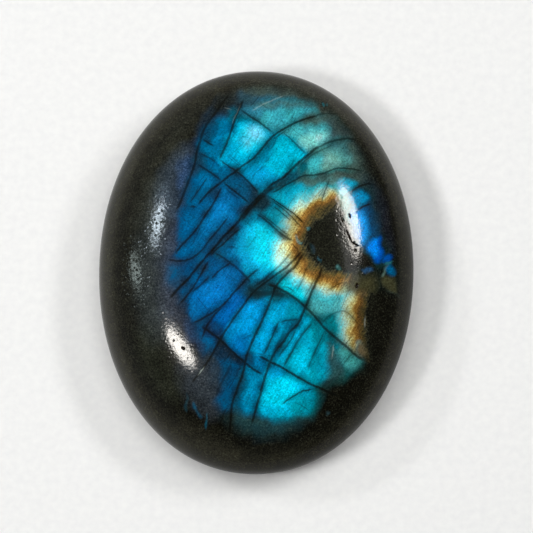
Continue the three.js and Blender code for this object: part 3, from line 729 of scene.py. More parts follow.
# Small flecks of flash that stand apart from the rest
FLECKS = {
    "azure fade at the right": {
        "outline": [(15.0, 12.8), (16.4, 12.8), (17.4, 11.2), (18.4, 8.6), (18.9, 5.6), (18.4, 3.8),
                    (16.4, 3.6), (15.0, 7.0)],
        "glow": 0.12, "hue": 0.4, "milk": 0.06, "edge": 2.0},
    "cyan patch over the seam": {
        "outline": [(12.2, 13.8), (13.8, 14.4), (15.3, 13.9), (15.0, 13.2), (14.3, 12.4), (13.0, 12.4)],
        "glow": 0.56, "hue": 0.64, "edge": 1.0},
    "upper azure patch": {
        "outline": [(14.4, 11.9), (15.6, 12.8), (16.6, 12.5), (17.2, 11.6), (17.1, 10.9), (16.0, 10.2),
                    (15.0, 9.6), (14.6, 10.6)],
        "glow": 0.5, "hue": 0.52, "edge": 1.1},
    "middle azure patch": {
        "outline": [(14.8, 9.2), (16.0, 9.8), (16.6, 9.5), (17.1, 8.2), (17.4, 6.8), (17.3, 5.4),
                    (17.0, 4.6), (16.3, 4.2), (15.6, 5.6), (15.0, 7.2)],
        "glow": 0.76, "hue": 0.38, "edge": 1.5},
    "violet patch": {
        "outline": [(18.9, 5.6), (19.3, 5.3), (19.6, 4.0), (19.6, 2.4), (19.1, 1.6), (18.5, 1.7),
                    (18.1, 2.8), (18.4, 4.2)],
        "glow": 0.44, "hue": 0.19, "edge": 0.9},
    "violet patch's left side": {
        "outline": [(17.4, 4.1), (18.5, 5.3), (18.9, 4.6), (18.9, 3.0), (18.4, 2.2), (17.4, 3.1)],
        "glow": 0.86, "hue": 0.28, "edge": 0.8},
    "small violet patch": {
        "outline": [(19.8, 2.2), (20.5, 3.0), (21.1, 2.3), (21.1, 1.9), (20.2, 1.7)],
        "glow": 0.36, "hue": 0.2, "edge": 0.6},
    "teal hook": {
        "outline": [(19.4, -0.4), (19.9, 0.3), (20.4, 1.0), (20.8, 1.2), (20.6, 0.6), (20.1, 0.1),
                    (19.7, -0.6)],
        "glow": 0.13, "hue": 1.2, "milk": 0.55, "edge": 0.45},
    "cyan speck over the hook": {
        "outline": [(20.2, 1.3), (20.6, 1.8), (21.3, 1.7), (21.3, 1.4), (20.8, 1.2)],
        "glow": 0.16, "hue": 0.85, "milk": 0.12, "edge": 0.4},
    "lower azure patch": {
        "outline": [(20.2, 0.3), (20.7, 1.1), (21.2, 1.0), (21.4, 0.2), (21.4, -0.3), (20.7, -0.4)],
        "glow": 0.25, "hue": 0.42, "edge": 0.7},
    "blue lens": {
        "outline": [(16.2, 0.15), (16.9, 0.45), (18.2, 0.3), (18.1, 0.05), (17.0, -0.15)],
        "glow": 0.15, "hue": 0.42, "milk": 0.2, "edge": 0.4},
    "olive strip": {
        "outline": [(14.4, -1.3), (16.2, -0.9), (18.2, -0.8), (18.4, -2.7), (16.6, -3.4), (14.0, -3.6)],
        "glow": 0.016, "hue": 2.6, "milk": 1.05, "edge": 2.4},
    "olive patch": {
        "outline": [(19.6, -0.6), (20.1, -0.8), (21.3, -0.8), (21.9, -2.3), (21.5, -3.1), (20.6, -2.5),
                    (19.8, -2.0)],
        "glow": 0.02, "hue": 2.3, "milk": 1.0, "edge": 0.9},
    "teal thread": {
        "outline": [(20.7, -2.7), (21.6, -3.1), (22.6, -3.9), (22.5, -4.0), (21.5, -3.3), (20.6, -2.9)],
        "glow": 0.03, "hue": 1.3, "milk": 0.7, "edge": 0.35},
    "green foot of the side ring": {
        "outline": [(15.8, -11.4), (17.0, -11.4), (17.4, -12.6), (17.0, -13.4), (15.8, -13.0)],
        "glow": 0.05, "hue": 2.0, "milk": 1.3, "edge": 1.1},
    "teal dot on the eye's lower rim": {
        "outline": [(12.4, 0.4), (12.9, 0.7), (13.3, 0.2), (12.9, -0.2)],
        "glow": 0.17, "hue": 1.0, "milk": 0.35, "edge": 0.5},
    "teal dot on the eye's left rim": {
        "outline": [(9.3, 2.3), (9.6, 1.9), (10.0, 1.4), (9.7, 1.2), (9.3, 1.8)],
        "glow": 0.16, "hue": 0.7, "milk": 0.25, "edge": 0.3},
    "blue shimmer in the eye": {
        "outline": [(8.3, 3.9), (8.7, 4.0), (9.0, 3.0), (9.0, 2.5), (8.6, 2.8)],
        "glow": 0.04, "hue": 0.7, "milk": 0.4, "edge": 0.5},
    "pale dot at the eye's left": {
        "outline": [(7.7, 6.6), (8.0, 6.6), (8.1, 6.3), (7.9, 6.2)],
        "glow": 0.17, "hue": 1.0, "milk": 0.5, "edge": 0.25},
    "pale thread in the gold": {
        "outline": [(5.7, 5.0), (6.1, 4.8), (7.0, 4.0), (6.9, 3.9), (6.1, 4.5)],
        "glow": 0.14, "hue": 1.9, "milk": 0.7, "edge": 0.3},
    "bottom left streak": {
        "outline": [(-9.5, -21.0), (-9.1, -21.3), (-8.8, -22.2), (-9.3, -22.1)],
        "glow": 0.1, "hue": 0.5, "edge": 0.35},
    "bottom left streak's foot": {
        "outline": [(-9.1, -22.2), (-8.7, -22.3), (-8.2, -23.6), (-8.6, -23.6)],
        "glow": 0.075, "hue": 0.52, "edge": 0.35},
    "bottom left hair": {
        "outline": [(-10.4, -20.0), (-10.3, -21.6), (-10.5, -22.6), (-10.6, -21.4)],
        "glow": 0.035, "hue": 0.65, "edge": 0.35},
    "bottom left dash": {
        "outline": [(-7.4, -22.8), (-7.3, -24.2), (-7.4, -25.2), (-7.5, -23.8)],
        "glow": 0.12, "hue": 0.62, "edge": 0.3},
    "teal blotch at the top right": {
        "outline": [(9.7, 27.0), (10.0, 27.1), (10.2, 26.8), (9.9, 26.6)],
        "glow": 0.13, "hue": 0.8, "edge": 0.35},
    "its twin": {
        "outline": [(10.5, 26.9), (10.7, 27.0), (10.8, 26.7), (10.6, 26.6)],
        "glow": 0.08, "hue": 0.9, "edge": 0.3},
    "teal dot at the bottom right": {
        "outline": [(11.5, -22.3), (11.8, -22.3), (11.8, -22.6), (11.5, -22.6)],
        "glow": 0.06, "hue": 0.9, "milk": 0.4, "edge": 0.35},
}

# Pearly spots, where the flash is nearly white
PEARLS = {
    "upper pearl": {"at": (-0.6, 21.5), "radius": 1.3, "milk": 0.24},
    "lower pearl": {"at": (-1.9, 19.9), "radius": 0.9, "milk": 0.16},
    "pale spot at the right": {"at": (9.2, 21.0), "radius": 1.0, "milk": 0.5},
}

# Hairline scratches in the polish, which catch the light
SCRATCHES = {
    "top bluish": {"path": [(-5.9, 25.7), (-5.0, 25.5), (-4.1, 25.2)], "width": 0.16, "dark": 0.1},
    "top long": {
        "path": [(-1.4, 25.0), (0.0, 26.0), (1.5, 26.8), (3.9, 28.0)], "width": 0.18, "dark": 0.16},
    "over the left rib": {
        "path": [(-2.9, 26.4), (-3.4, 25.2), (-4.0, 23.8), (-4.4, 22.6)], "width": 0.12, "dark": 0.07},
    "top short": {"path": [(0.8, 28.4), (1.4, 28.9)], "width": 0.2, "dark": 0.12},
    "lower left": {"path": [(-7.7, -15.4), (-8.3, -16.2), (-8.9, -17.1)], "width": 0.2, "dark": 0.35},
    "lower right": {"path": [(12.2, -11.4), (12.1, -12.6), (11.9, -14.2)], "width": 0.16, "dark": 0.22},
    "right gold": {"path": [(17.1, -6.8), (17.0, -8.0), (17.1, -9.2)], "width": 0.2, "dark": 0.16},
}

# Where the polish is worn, so that small pits crowd there and break up its reflections
WORN = {
    "over the fissure": {
        "outline": [(12.2, 11.4), (13.2, 10.2), (13.8, 7.0), (14.4, 5.2), (15.4, 4.2), (15.0, 2.6),
                    (13.6, 3.0), (12.4, 6.0)],
        "amount": 0.9, "edge": 1.4},
    "below the fissure": {
        "outline": [(15.0, 3.0), (16.6, 1.6), (16.6, -2.0), (15.6, -3.0), (14.8, -2.4), (14.2, 0.0)],
        "amount": 0.35, "edge": 1.4},
    "left shoulder": {"outline": [(-21, 4), (-21, -6), (-17, -6), (-17, 4)], "amount": 1.0, "edge": 2.0},
    "left back": {
        "outline": [(-17.4, 11.5), (-14.2, 11.5), (-14.4, 6.0), (-15.2, 1.5), (-17.4, 1.0)],
        "amount": 1.0, "edge": 1.6},
    "left front": {
        "outline": [(-15.6, -6.6), (-13.4, -8.0), (-10.0, -13.0), (-9.0, -15.4), (-11.4, -16.4),
                    (-14.4, -12.0)],
        "amount": 0.25, "edge": 2.0},
}

# Hair-thin cracks too fine to place one by one: they run along the long fractures or across them
HAIRS = 150
HAIR_SEED = 7
HAIR_DIRECTIONS = (57.0, 57.0, 70.0, -33.0)
HAIR_SPREAD = 8.0
HAIR_LENGTH = (1.2, 4.5)
HAIR_BEND = 0.05
HAIR_WIDTH = (0.06, 0.13)
HAIR_DARK = (0.2, 0.6)
# The part of the drawing that hairs are tried in, and how far inside the flash their middles stay
HAIRS_ACROSS = (-12, 17)
HAIRS_ALONG = (-24, 27)
HAIR_MARGIN = 0.5

# The paths and outlines are in mm on a drawing of the crown, which lies on the stone this far to the
# right and up, where a minus is down, and this much shorter
DRAWING_SHIFT = (0.05, -0.18)
DRAWING_STRETCH = 1.0085

# How far from a line its distance is stored, in mm, and how many times that far apart the lines of one
# layer stay. Where no line is near, the distance is FAR_OFF.
LINE_REACH = 0.75
HAIR_REACH = 0.45
LAYER_GAP = 2.4
FAR_OFF = 9.0
# How far apart the points of a smooth path are
PATH_STEP = 0.25
# Over what length a line fades in from its tips, and the share of its width that a tip has
LINE_TAPER = 0.9
TIP_WIDTH = 0.4
# How much of the flash a fracture's soft shadow takes away at most, how far the shadow spreads for a
# halo of 1, how many spreads of it are worked out, and over what length it fades in from the tips
SHADOW_DEPTH = 0.6
SHADOW_SPREAD = 1.8
SHADOW_REACH = 2.2
SHADOW_TAPER = 1.5
# The blocks' outlines are ragged by this much, in lumps of this size, and finer ones by this much
RAG = 0.2
RAG_SIZE = 1.5
FINE_RAG = 0.08
FINE_RAG_SIZE = 0.6
# How many waves smooth noise is made of
DRIFT_WAVES = 12


def hex_colour(code):
    """An sRGB hex code such as #1A2B3C as linear red, green, blue and alpha."""
    channels = [int(code[i : i + 2], 16) / 255 for i in (1, 3, 5)]
    return [c / 12.92 if c <= 0.04045 else ((c + 0.055) / 1.055) ** 2.4 for c in channels] + [1.0]


def smooth_step(value, start, end):
    share = np.clip((value - start) / (end - start), 0.0, 1.0)
    return share * share * (3 - 2 * share)


def quarter_curve(fullness, height, first_share=0.0):
    """Shares and rises of a quarter curve, and how far along it each is, from its pole to the girdle."""
    first_angle = math.asin(first_share ** (fullness / 2))
    angles = np.linspace(first_angle, math.pi / 2, CURVE_STEPS)
    shares = np.sin(angles) ** (2 / fullness)
    rises = np.abs(np.cos(angles)) ** (2 / fullness)
    mean_radius = (HALF_WIDTH + HALF_LENGTH) / 2
    steps = np.hypot(np.diff(shares) * mean_radius, np.diff(rises) * height * CLIMB_WEIGHT)
    along = np.concatenate([[0.0], np.cumsum(steps)])
    return shares, rises, along / along[-1]


def outline_share(x, y):
    """How far out from the middle each point is, where 1 is the outline."""
    across = np.abs(x / HALF_WIDTH) ** OUTLINE_FULLNESS
    lengthwise = np.abs(y / HALF_LENGTH) ** OUTLINE_FULLNESS
    return np.minimum((across + lengthwise) ** (1 / OUTLINE_FULLNESS), 1.0)


def crown_height_at(x, y):
    share = outline_share(x, y)
    return GIRDLE + CROWN_HEIGHT * (1 - share**CROWN_FULLNESS) ** (1 / CROWN_FULLNESS)


def read_points(mesh):
    flat = np.empty(len(mesh.vertices) * 3)
    mesh.vertices.foreach_get("co", flat)
    return flat.reshape(-1, 3)


def write_points(mesh, points):
    mesh.vertices.foreach_set("co", points.ravel())
    mesh.update()


def rough_blank():
    """A finely divided square sheet with a skirt of rings below its edge and a face that closes it."""
    bpy.ops.object.select_all(action="DESELECT")
    bpy.ops.mesh.primitive_grid_add(x_subdivisions=CROWN_CELLS, y_subdivisions=CROWN_CELLS, size=2)
    blank = bpy.context.object
    bpy.ops.object.mode_set(mode="EDIT")
    bpy.ops.mesh.select_mode(type="EDGE")
    bpy.ops.mesh.select_all(action="DESELECT")
    bpy.ops.mesh.select_non_manifold()
    for _ in range(BELLY_RINGS):
        bpy.ops.mesh.extrude_edges_move(TRANSFORM_OT_translate={"value": (0, 0, -1)})
    bpy.ops.mesh.edge_face_add()
    bpy.ops.mesh.select_all(action="SELECT")
    bpy.ops.mesh.normals_make_consistent(inside=False)
    bpy.ops.object.mode_set(mode="OBJECT")
    return blank


def grind_to_shape(blank):
    """Moves the blank's square onto the crown and its rings onto the belly."""
    points = read_points(blank.data)
    u, v = points[:, 0], points[:, 1]
    ring = np.round(-points[:, 2])
    disc_x = u * np.sqrt(1 - v * v / 2)
    disc_y = v * np.sqrt(1 - u * u / 2)
    out = np.clip(np.hypot(disc_x, disc_y), 0.0, 1.0)
    angle = np.arctan2(disc_y, disc_x)

    crown_shares, crown_rises, crown_along = quarter_curve(CROWN_FULLNESS, CROWN_HEIGHT)
    share = np.interp(out, crown_along, crown_shares)
    height = GIRDLE + CROWN_HEIGHT * np.interp(out, crown_along, crown_rises)

    belly_depth = GIRDLE / (1 - FLAT_SHARE**BELLY_FULLNESS) ** (1 / BELLY_FULLNESS)
    belly_shares, belly_rises, belly_along = quarter_curve(BELLY_FULLNESS, belly_depth, FLAT_SHARE)
    below = ring > 0
    down = 1 - ring[below] / BELLY_RINGS
    share[below] = np.interp(down, belly_along, belly_shares)
    height[below] = GIRDLE - belly_depth * np.interp(down, belly_along, belly_rises)

    corner = 2 / OUTLINE_FULLNESS
    points[:, 0] = share * np.sign(np.cos(angle)) * np.abs(np.cos(angle)) ** corner * HALF_WIDTH
    points[:, 1] = share * np.sign(np.sin(angle)) * np.abs(np.sin(angle)) ** corner * HALF_LENGTH
    points[:, 2] = np.maximum(height, 0.0)
    write_points(blank.data, points * MM)


def pit_share(pit, x, y):
    """How far each point is from a pit's middle, where 1 is the pit's rim."""
    turn = math.radians(pit["turn"])
    from_x, from_y = x - pit["at"][0], y - pit["at"][1]
    lengthwise = from_x * math.cos(turn) + from_y * math.sin(turn)
    across = from_y * math.cos(turn) - from_x * math.sin(turn)
    return np.hypot(lengthwise / (pit["long"] / 2), across / (pit["wide"] / 2))


def open_pits(stone):
    """Divides the crown finely round each pit and sinks the pit into it."""
    mesh = stone.data
    for _ in range(PIT_HALVINGS):
        centres = np.empty(len(mesh.polygons) * 3)
        mesh.polygons.foreach_get("center", centres)
        centres = centres.reshape(-1, 3) / MM
        near = np.zeros(len(centres), bool)
        for pit in PITS.values():
            wider = dict(pit, long=pit["long"] + PIT_MARGIN, wide=pit["wide"] + PIT_MARGIN)
            near |= pit_share(wider, centres[:, 0], centres[:, 1]) < 1
        near &= centres[:, 2] > GIRDLE
        bpy.ops.object.mode_set(mode="EDIT")
        bpy.ops.mesh.select_mode(type="FACE")
        bpy.ops.mesh.select_all(action="DESELECT")
        bpy.ops.object.mode_set(mode="OBJECT")
        mesh.polygons.foreach_set("select", near)
        bpy.ops.object.mode_set(mode="EDIT")
        bpy.ops.mesh.subdivide(number_cuts=1)
        bpy.ops.object.mode_set(mode="OBJECT")
    points = read_points(mesh) / MM
    for pit in PITS.values():
        share = pit_share(pit, points[:, 0], points[:, 1])
        inside = (share < PIT_REACH) & (points[:, 2] > GIRDLE)
        x, y = points[inside, 0], points[inside, 1]
        depth = pit["deep"] * (1 - smooth_step(share[inside], PIT_FLOOR, 1.0))
        points[inside, 2] = np.minimum(points[inside, 2], crown_height_at(x, y) - depth)
    write_points(mesh, points * MM)


def smooth_path(points, closed=False):
    """A smooth curve through given points, as points a small step apart."""
    points = [np.array(p, float) for p in points]
    if closed:
        points = [points[-1]] + points + points[:2]
    else:
        points = [2 * points[0] - points[1]] + points + [2 * points[-1] - points[-2]]
    curve = []
    for before, start, end, after in zip(points, points[1:], points[2:], points[3:]):
        count = max(2, int(np.linalg.norm(end - start) / PATH_STEP))
        for t in np.arange(count) / count:
            curve.append(
                0.5
                * (
                    2 * start
                    + (end - before) * t
                    + (2 * before - 5 * start + 4 * end - after) * t**2
                    + (3 * start - before - 3 * end + after) * t**3
                )
            )
    if not closed:
        curve.append(points[-2])
    return np.array(curve)


def measure_to(path, x, y):
    """Signed distance from a path, and how far the nearest place on it is from the path's nearer end."""
    starts, ends = path[:-1], path[1:]
    runs = ends - starts
    lengths = np.linalg.norm(runs, axis=1)
    travelled = np.concatenate([[0.0], np.cumsum(lengths)])
    from_start = np.stack([x[:, None] - starts[:, 0], y[:, None] - starts[:, 1]], -1)
    share = np.clip((from_start * runs).sum(-1) / lengths**2, 0.0, 1.0)
    offset = from_start - share[..., None] * runs
    distance = np.hypot(offset[..., 0], offset[..., 1])
    nearest = distance.argmin(1)
    rows = np.arange(len(x))
    side = runs[nearest, 0] * from_start[rows, nearest, 1] - runs[nearest, 1] * from_start[rows, nearest, 0]
    place = travelled[nearest] + share[rows, nearest] * lengths[nearest]
    to_end = np.minimum(place, travelled[-1] - place)
    return distance[rows, nearest] * np.where(side < 0, -1.0, 1.0), to_end


def outline_distance(outline, x, y, reach):
    """Distance out from a closed outline, negative inside it, worked out as far as the reach."""
    path = smooth_path(outline, closed=True)
    path = np.vstack([path, path[:1]])
    low, high = path.min(0) - reach, path.max(0) + reach
    near = np.nonzero((x > low[0]) & (x < high[0]) & (y > low[1]) & (y < high[1]))[0]
    near_x, near_y = x[near], y[near]
    within = np.zeros(len(near), bool)
    for (x0, y0), (x1, y1) in zip(path[:-1], path[1:]):
        if y1 != y0:
            crosses = (y0 > near_y) != (y1 > near_y)
            within ^= crosses & (near_x < (x1 - x0) * (near_y - y0) / (y1 - y0) + x0)
    distance = np.abs(measure_to(path, near_x, near_y)[0])
    outward = np.full(len(x), float(reach))
    outward[near] = np.where(within, -distance, np.minimum(distance, reach))
    return outward


def inside_amount(outline, x, y, edge):
    """1 inside a closed outline and 0 outside, over a soft edge of the given width."""
    return smooth_step(-outline_distance(outline, x, y, edge), -edge / 2, edge / 2)


def drift(x, y, size, seed):
    """Smooth noise, mostly between -1 and 1, in lumps of about the given size in mm."""
    random = np.random.default_rng(seed)
    total = np.zeros(len(x))
    for _ in range(DRIFT_WAVES):
        heading = random.uniform(0, 2 * math.pi)
        wave = math.pi / (size * random.uniform(0.7, 1.6))
        start = random.uniform(0, 2 * math.pi)
        total += np.sin(wave * (x * math.cos(heading) + y * math.sin(heading)) + start)
    return total / 4


def make_hairs():
    """Draws the hairs: short, nearly straight paths at seeded places inside the flash."""
    random = np.random.default_rng(HAIR_SEED)
    hairs = {}
    while len(hairs) < HAIRS:
        middle = np.array([random.uniform(*HAIRS_ACROSS), random.uniform(*HAIRS_ALONG)])
        length = random.uniform(*HAIR_LENGTH)
        heading = math.radians(random.choice(HAIR_DIRECTIONS) + random.normal(0, HAIR_SPREAD))
        along = np.array([math.cos(heading), math.sin(heading)])
        bend = np.array([-along[1], along[0]]) * random.normal(0, HAIR_BEND) * length
        half = along * length / 2
        path = [tuple(middle - half), tuple(middle + bend), tuple(middle + half)]
        width = random.uniform(*HAIR_WIDTH)
        dark = random.uniform(*HAIR_DARK)
        if outline_distance(FLASH_OUTLINE, middle[:1], middle[1:], FLASH_EDGE)[0] < -HAIR_MARGIN:
            hairs[f"hair {len(hairs) + 1}"] = {"path": path, "width": width, "dark": dark}
    return hairs


def line_layers(lines, gap):
    """Sorts lines into layers, so that those of one layer stay well clear of each other."""
    layers = []
    for name, line in lines.items():
        path = smooth_path(line["path"])
        for layer in layers:
            gaps = [np.hypot(*(path[:, None] - other[None]).transpose(2, 0, 1)).min() for _, other in layer]
            if min(gaps) > gap:
                layer.append((name, path))
                break
        else:
            layers.append([(name, path)])
    return layers


def store(mesh, name, values):
    """Keeps one value or one vector for each vertex, for the material to read."""
    kind = "FLOAT" if values.ndim == 1 else "FLOAT_VECTOR"
    attribute = mesh.attributes.new(name, kind, "POINT")
    attribute.data.foreach_set("value" if values.ndim == 1 else "vector", values.astype(np.float32).ravel())


def paint_lines(mesh, x, y, top, lines, prefix, reach=LINE_REACH):
    """Stores each layer's lines as distance, half width and strength, and returns the layers' names."""
    names = []
    for number, layer in enumerate(line_layers(lines, LAYER_GAP * reach)):
        reading = np.tile([FAR_OFF, 0.0, 0.0], (len(x), 1))
        for line_name, path in layer:
            line = lines[line_name]
            low, high = path.min(0) - reach, path.max(0) + reach
            near = np.nonzero(top & (x > low[0]) & (x < high[0]) & (y > low[1]) & (y < high[1]))[0]
            distance, to_end = measure_to(path, x[near], y[near])
            close = np.abs(distance) < np.minimum(np.abs(reading[near, 0]), reach)
            near, distance, to_end = near[close], distance[close], to_end[close]
            taper = smooth_step(to_end, 0.0, LINE_TAPER)
            reading[near, 0] = distance
            reading[near, 1] = line["width"] / 2 * (TIP_WIDTH + (1 - TIP_WIDTH) * taper)
            reading[near, 2] = line["dark"] * taper
        name = f"{prefix}_{number}"
        store(mesh, name, reading)
        names.append(name)
    return names


def crack_shadow(x, y, top):
    """How much of the flash the fractures' soft shadows take away."""
    shadow = np.zeros(len(x))
    # The shadows are weaker in places and stronger in others, in lumps of 1.6 mm
    uneven = np.clip(0.85 + 0.35 * drift(x, y, 1.6, 21), 0.2, 1.3)
    for crack in CRACKS.values():
        path = smooth_path(crack["path"])
        halo = SHADOW_SPREAD * crack["halo"]
        reach = crack["width"] / 2 + SHADOW_REACH * halo
        low, high = path.min(0) - reach, path.max(0) + reach
        near = np.nonzero(top & (x > low[0]) & (x < high[0]) & (y > low[1]) & (y < high[1]))[0]
        distance, to_end = measure_to(path, x[near], y[near])
        spread = np.exp(-((np.maximum(np.abs(distance) - crack["width"] / 2, 0.0) / halo) ** 2))
        taper = smooth_step(to_end, 0.0, SHADOW_TAPER)
        amount = SHADOW_DEPTH * crack["dark"] * spread * taper * uneven[near]
        shadow[near] = 1 - (1 - shadow[near]) * (1 - np.clip(amount, 0.0, 1.0))
    return shadow


def light_of(patch):
    """A patch's flash as red, green and blue light."""
    blue = patch["glow"]
    green = blue * patch["hue"]
    return np.array([green * patch.get("milk", 0.0), green, blue])


def paint_flash(mesh, x, y, top):
    """Works out the flash at each vertex, the haze over the body, part of which is painted reflection, and
    the place in the gold rings.
    """
    # Each place looks its block up a little to one side, which makes the outlines ragged
    u = x + RAG * drift(x, y, RAG_SIZE, 1) + FINE_RAG * drift(x, y, FINE_RAG_SIZE, 2)
    v = y + RAG * drift(x, y, RAG_SIZE, 3) + FINE_RAG * drift(x, y, FINE_RAG_SIZE, 4)
    glow = np.interp(u, list(GLOW_ACROSS), list(GLOW_ACROSS.values()))
    hue = np.interp(u, list(HUE_ACROSS), list(HUE_ACROSS.values()))
    flash = np.stack([np.zeros(len(x)), glow * hue, glow], axis=1)
    for cell in CELLS.values():
        amount = inside_amount(cell["outline"], u, v, cell.get("edge", CELL_EDGE))
        flash += (light_of(cell) - flash) * amount[:, None]
    for pearl in PEARLS.values():
        away = np.hypot(u - pearl["at"][0], v - pearl["at"][1]) / pearl["radius"]
        flash[:, 0] = np.maximum(flash[:, 0], flash[:, 1] * pearl["milk"] * np.exp(-away * away))
    # The flash is patchy, in patches of 2.4 mm and, more weakly, of 0.9 mm
    strength = 1 + 0.12 * drift(x, y, 2.4, 5) + 0.07 * drift(x, y, 0.9, 6)
    strength *= inside_amount(FLASH_OUTLINE, u, v, FLASH_EDGE) ** 1.5
    for dark_place in (EYE, SIDE_EYE):
        strength *= 1 - inside_amount(dark_place, u, v, DARK_EDGE)
    flash *= strength[:, None]
    # The haze: the body's paler tones, with painted reflection haze at the left and round the rim
    haze = np.zeros((len(x), 3))
    for patch in HAZES.values():
        amount = inside_amount(patch["outline"], u, v, patch["edge"])
        haze += np.outer(amount, hex_colour(patch["colour"])[:3])

    ring = outline_distance(EYE, u, v, RING_REACH)
    ring /= np.interp(v, list(RING_WIDTH_ALONG), list(RING_WIDTH_ALONG.values()))
    ring = np.minimum(ring, outline_distance(SIDE_EYE, u, v, RING_REACH) / SIDE_RING_WIDTH)
    ring_light = np.interp(v, list(RING_LIGHT_ALONG), list(RING_LIGHT_ALONG.values()))
    # The rings are patchy too, in patches of 2 mm
    ring_light *= 1 + 0.14 * drift(x, y, 2.0, 7)
    ring_shown = inside_amount(GOLD_OUTLINE, u, v, GOLD_EDGE)

    for fleck in FLECKS.values():
        amount = inside_amount(fleck["outline"], u, v, fleck["edge"])
        flash += (light_of(fleck) - flash) * amount[:, None]
        ring_shown *= 1 - amount
    shade = 1 - crack_shadow(x, y, top)
    flash *= shade[:, None]
    ring_light *= shade
    flash[~top] = 0.0
    haze[~top] = 0.0
    # Paler round the rim: partly the body's own tone, partly painted reflection of the table
    rim = smooth_step(outline_share(x, y), RIM_START, RIM_FULL)
    haze += np.outer(rim, hex_colour(RIM_TONE_AND_SHEEN)[:3])
    store(mesh, "flash", flash)
    store(mesh, "haze", haze)
    store(mesh, "ring", np.clip(ring, -1.0, 2.0))
    store(mesh, "ring_light", ring_light)
    store(mesh, "ring_shown", np.where(top, ring_shown, 0.0))


def paint_wear_and_pit_fill(mesh, x, y, top):
    """Works out how worn the polish is at each vertex, and where dark brown fills the open pits, partly dirt
    and partly painted shade.
    """
    wear = np.zeros(len(x))
    for patch in WORN.values():
        wear = np.maximum(wear, patch["amount"] * inside_amount(patch["outline"], x, y, patch["edge"]))
    pit_dirt_and_shade = np.zeros(len(x))
    for pit in PITS.values():
        pit_dirt_and_shade = np.maximum(pit_dirt_and_shade, 1 - smooth_step(pit_share(pit, x, y), DIRT_AND_SHADE_START, DIRT_AND_SHADE_END))
    store(mesh, "wear", np.where(top, wear, 0.0))
    store(mesh, "pit_dirt_and_shade", np.where(top, pit_dirt_and_shade, 0.0))


def add(tree, kind, inputs=None, stops=None, **settings):
    """Adds a node with its settings. Each input is a value, another node's output to link, or another
    node, whose first output is linked."""
    node = tree.nodes.new(kind)
    for name, value in settings.items():
        setattr(node, name, value)
    for key, value in (inputs or {}).items():
        if isinstance(value, bpy.types.Node):
            value = value.outputs[0]
        if isinstance(value, bpy.types.NodeSocket):
            tree.links.new(value, node.inputs[key])
        else:
            node.inputs[key].default_value = value
    if stops:
        elements = node.color_ramp.elements
        while len(elements) < len(stops):
            elements.new(1.0)
        for element, (place, code) in zip(elements, stops):
            element.position = place
            element.color = hex_colour(code)
    return node


def line_group():
    """A node group that turns a line's reading into how dark the line is, with a slightly wavering edge."""
    group = bpy.data.node_groups.new("healed fracture line", "ShaderNodeTree")
    group.interface.new_socket("Reading", in_out="INPUT", socket_type="NodeSocketVector")
    group.interface.new_socket("Waver", in_out="INPUT", socket_type="NodeSocketFloat")
    group.interface.new_socket("Line", in_out="OUTPUT", socket_type="NodeSocketFloat")
    start = add(group, "NodeGroupInput")
    parts = add(group, "ShaderNodeSeparateXYZ", {0: start.outputs["Reading"]})
    moved = add(group, "ShaderNodeMath", {0: parts, 1: start.outputs["Waver"]}, operation="ADD")
    away = add(group, "ShaderNodeMath", {0: moved}, operation="ABSOLUTE")
    inner = add(group, "ShaderNodeMath", {0: parts.outputs[1], 1: 0.45}, operation="MULTIPLY")
    outer = add(group, "ShaderNodeMath", {0: parts.outputs[1], 1: 1.35, 2: 0.05}, operation="MULTIPLY_ADD")
    profile = add(
        group,
        "ShaderNodeMapRange",
        {"Value": away, "From Min": inner, "From Max": outer, "To Min": 1.0, "To Max": 0.0},
        interpolation_type="SMOOTHSTEP",
    )
    line = add(group, "ShaderNodeMath", {0: profile, 1: parts.outputs[2]}, operation="MULTIPLY")
    add(group, "NodeGroupOutput", {0: line})
    return group


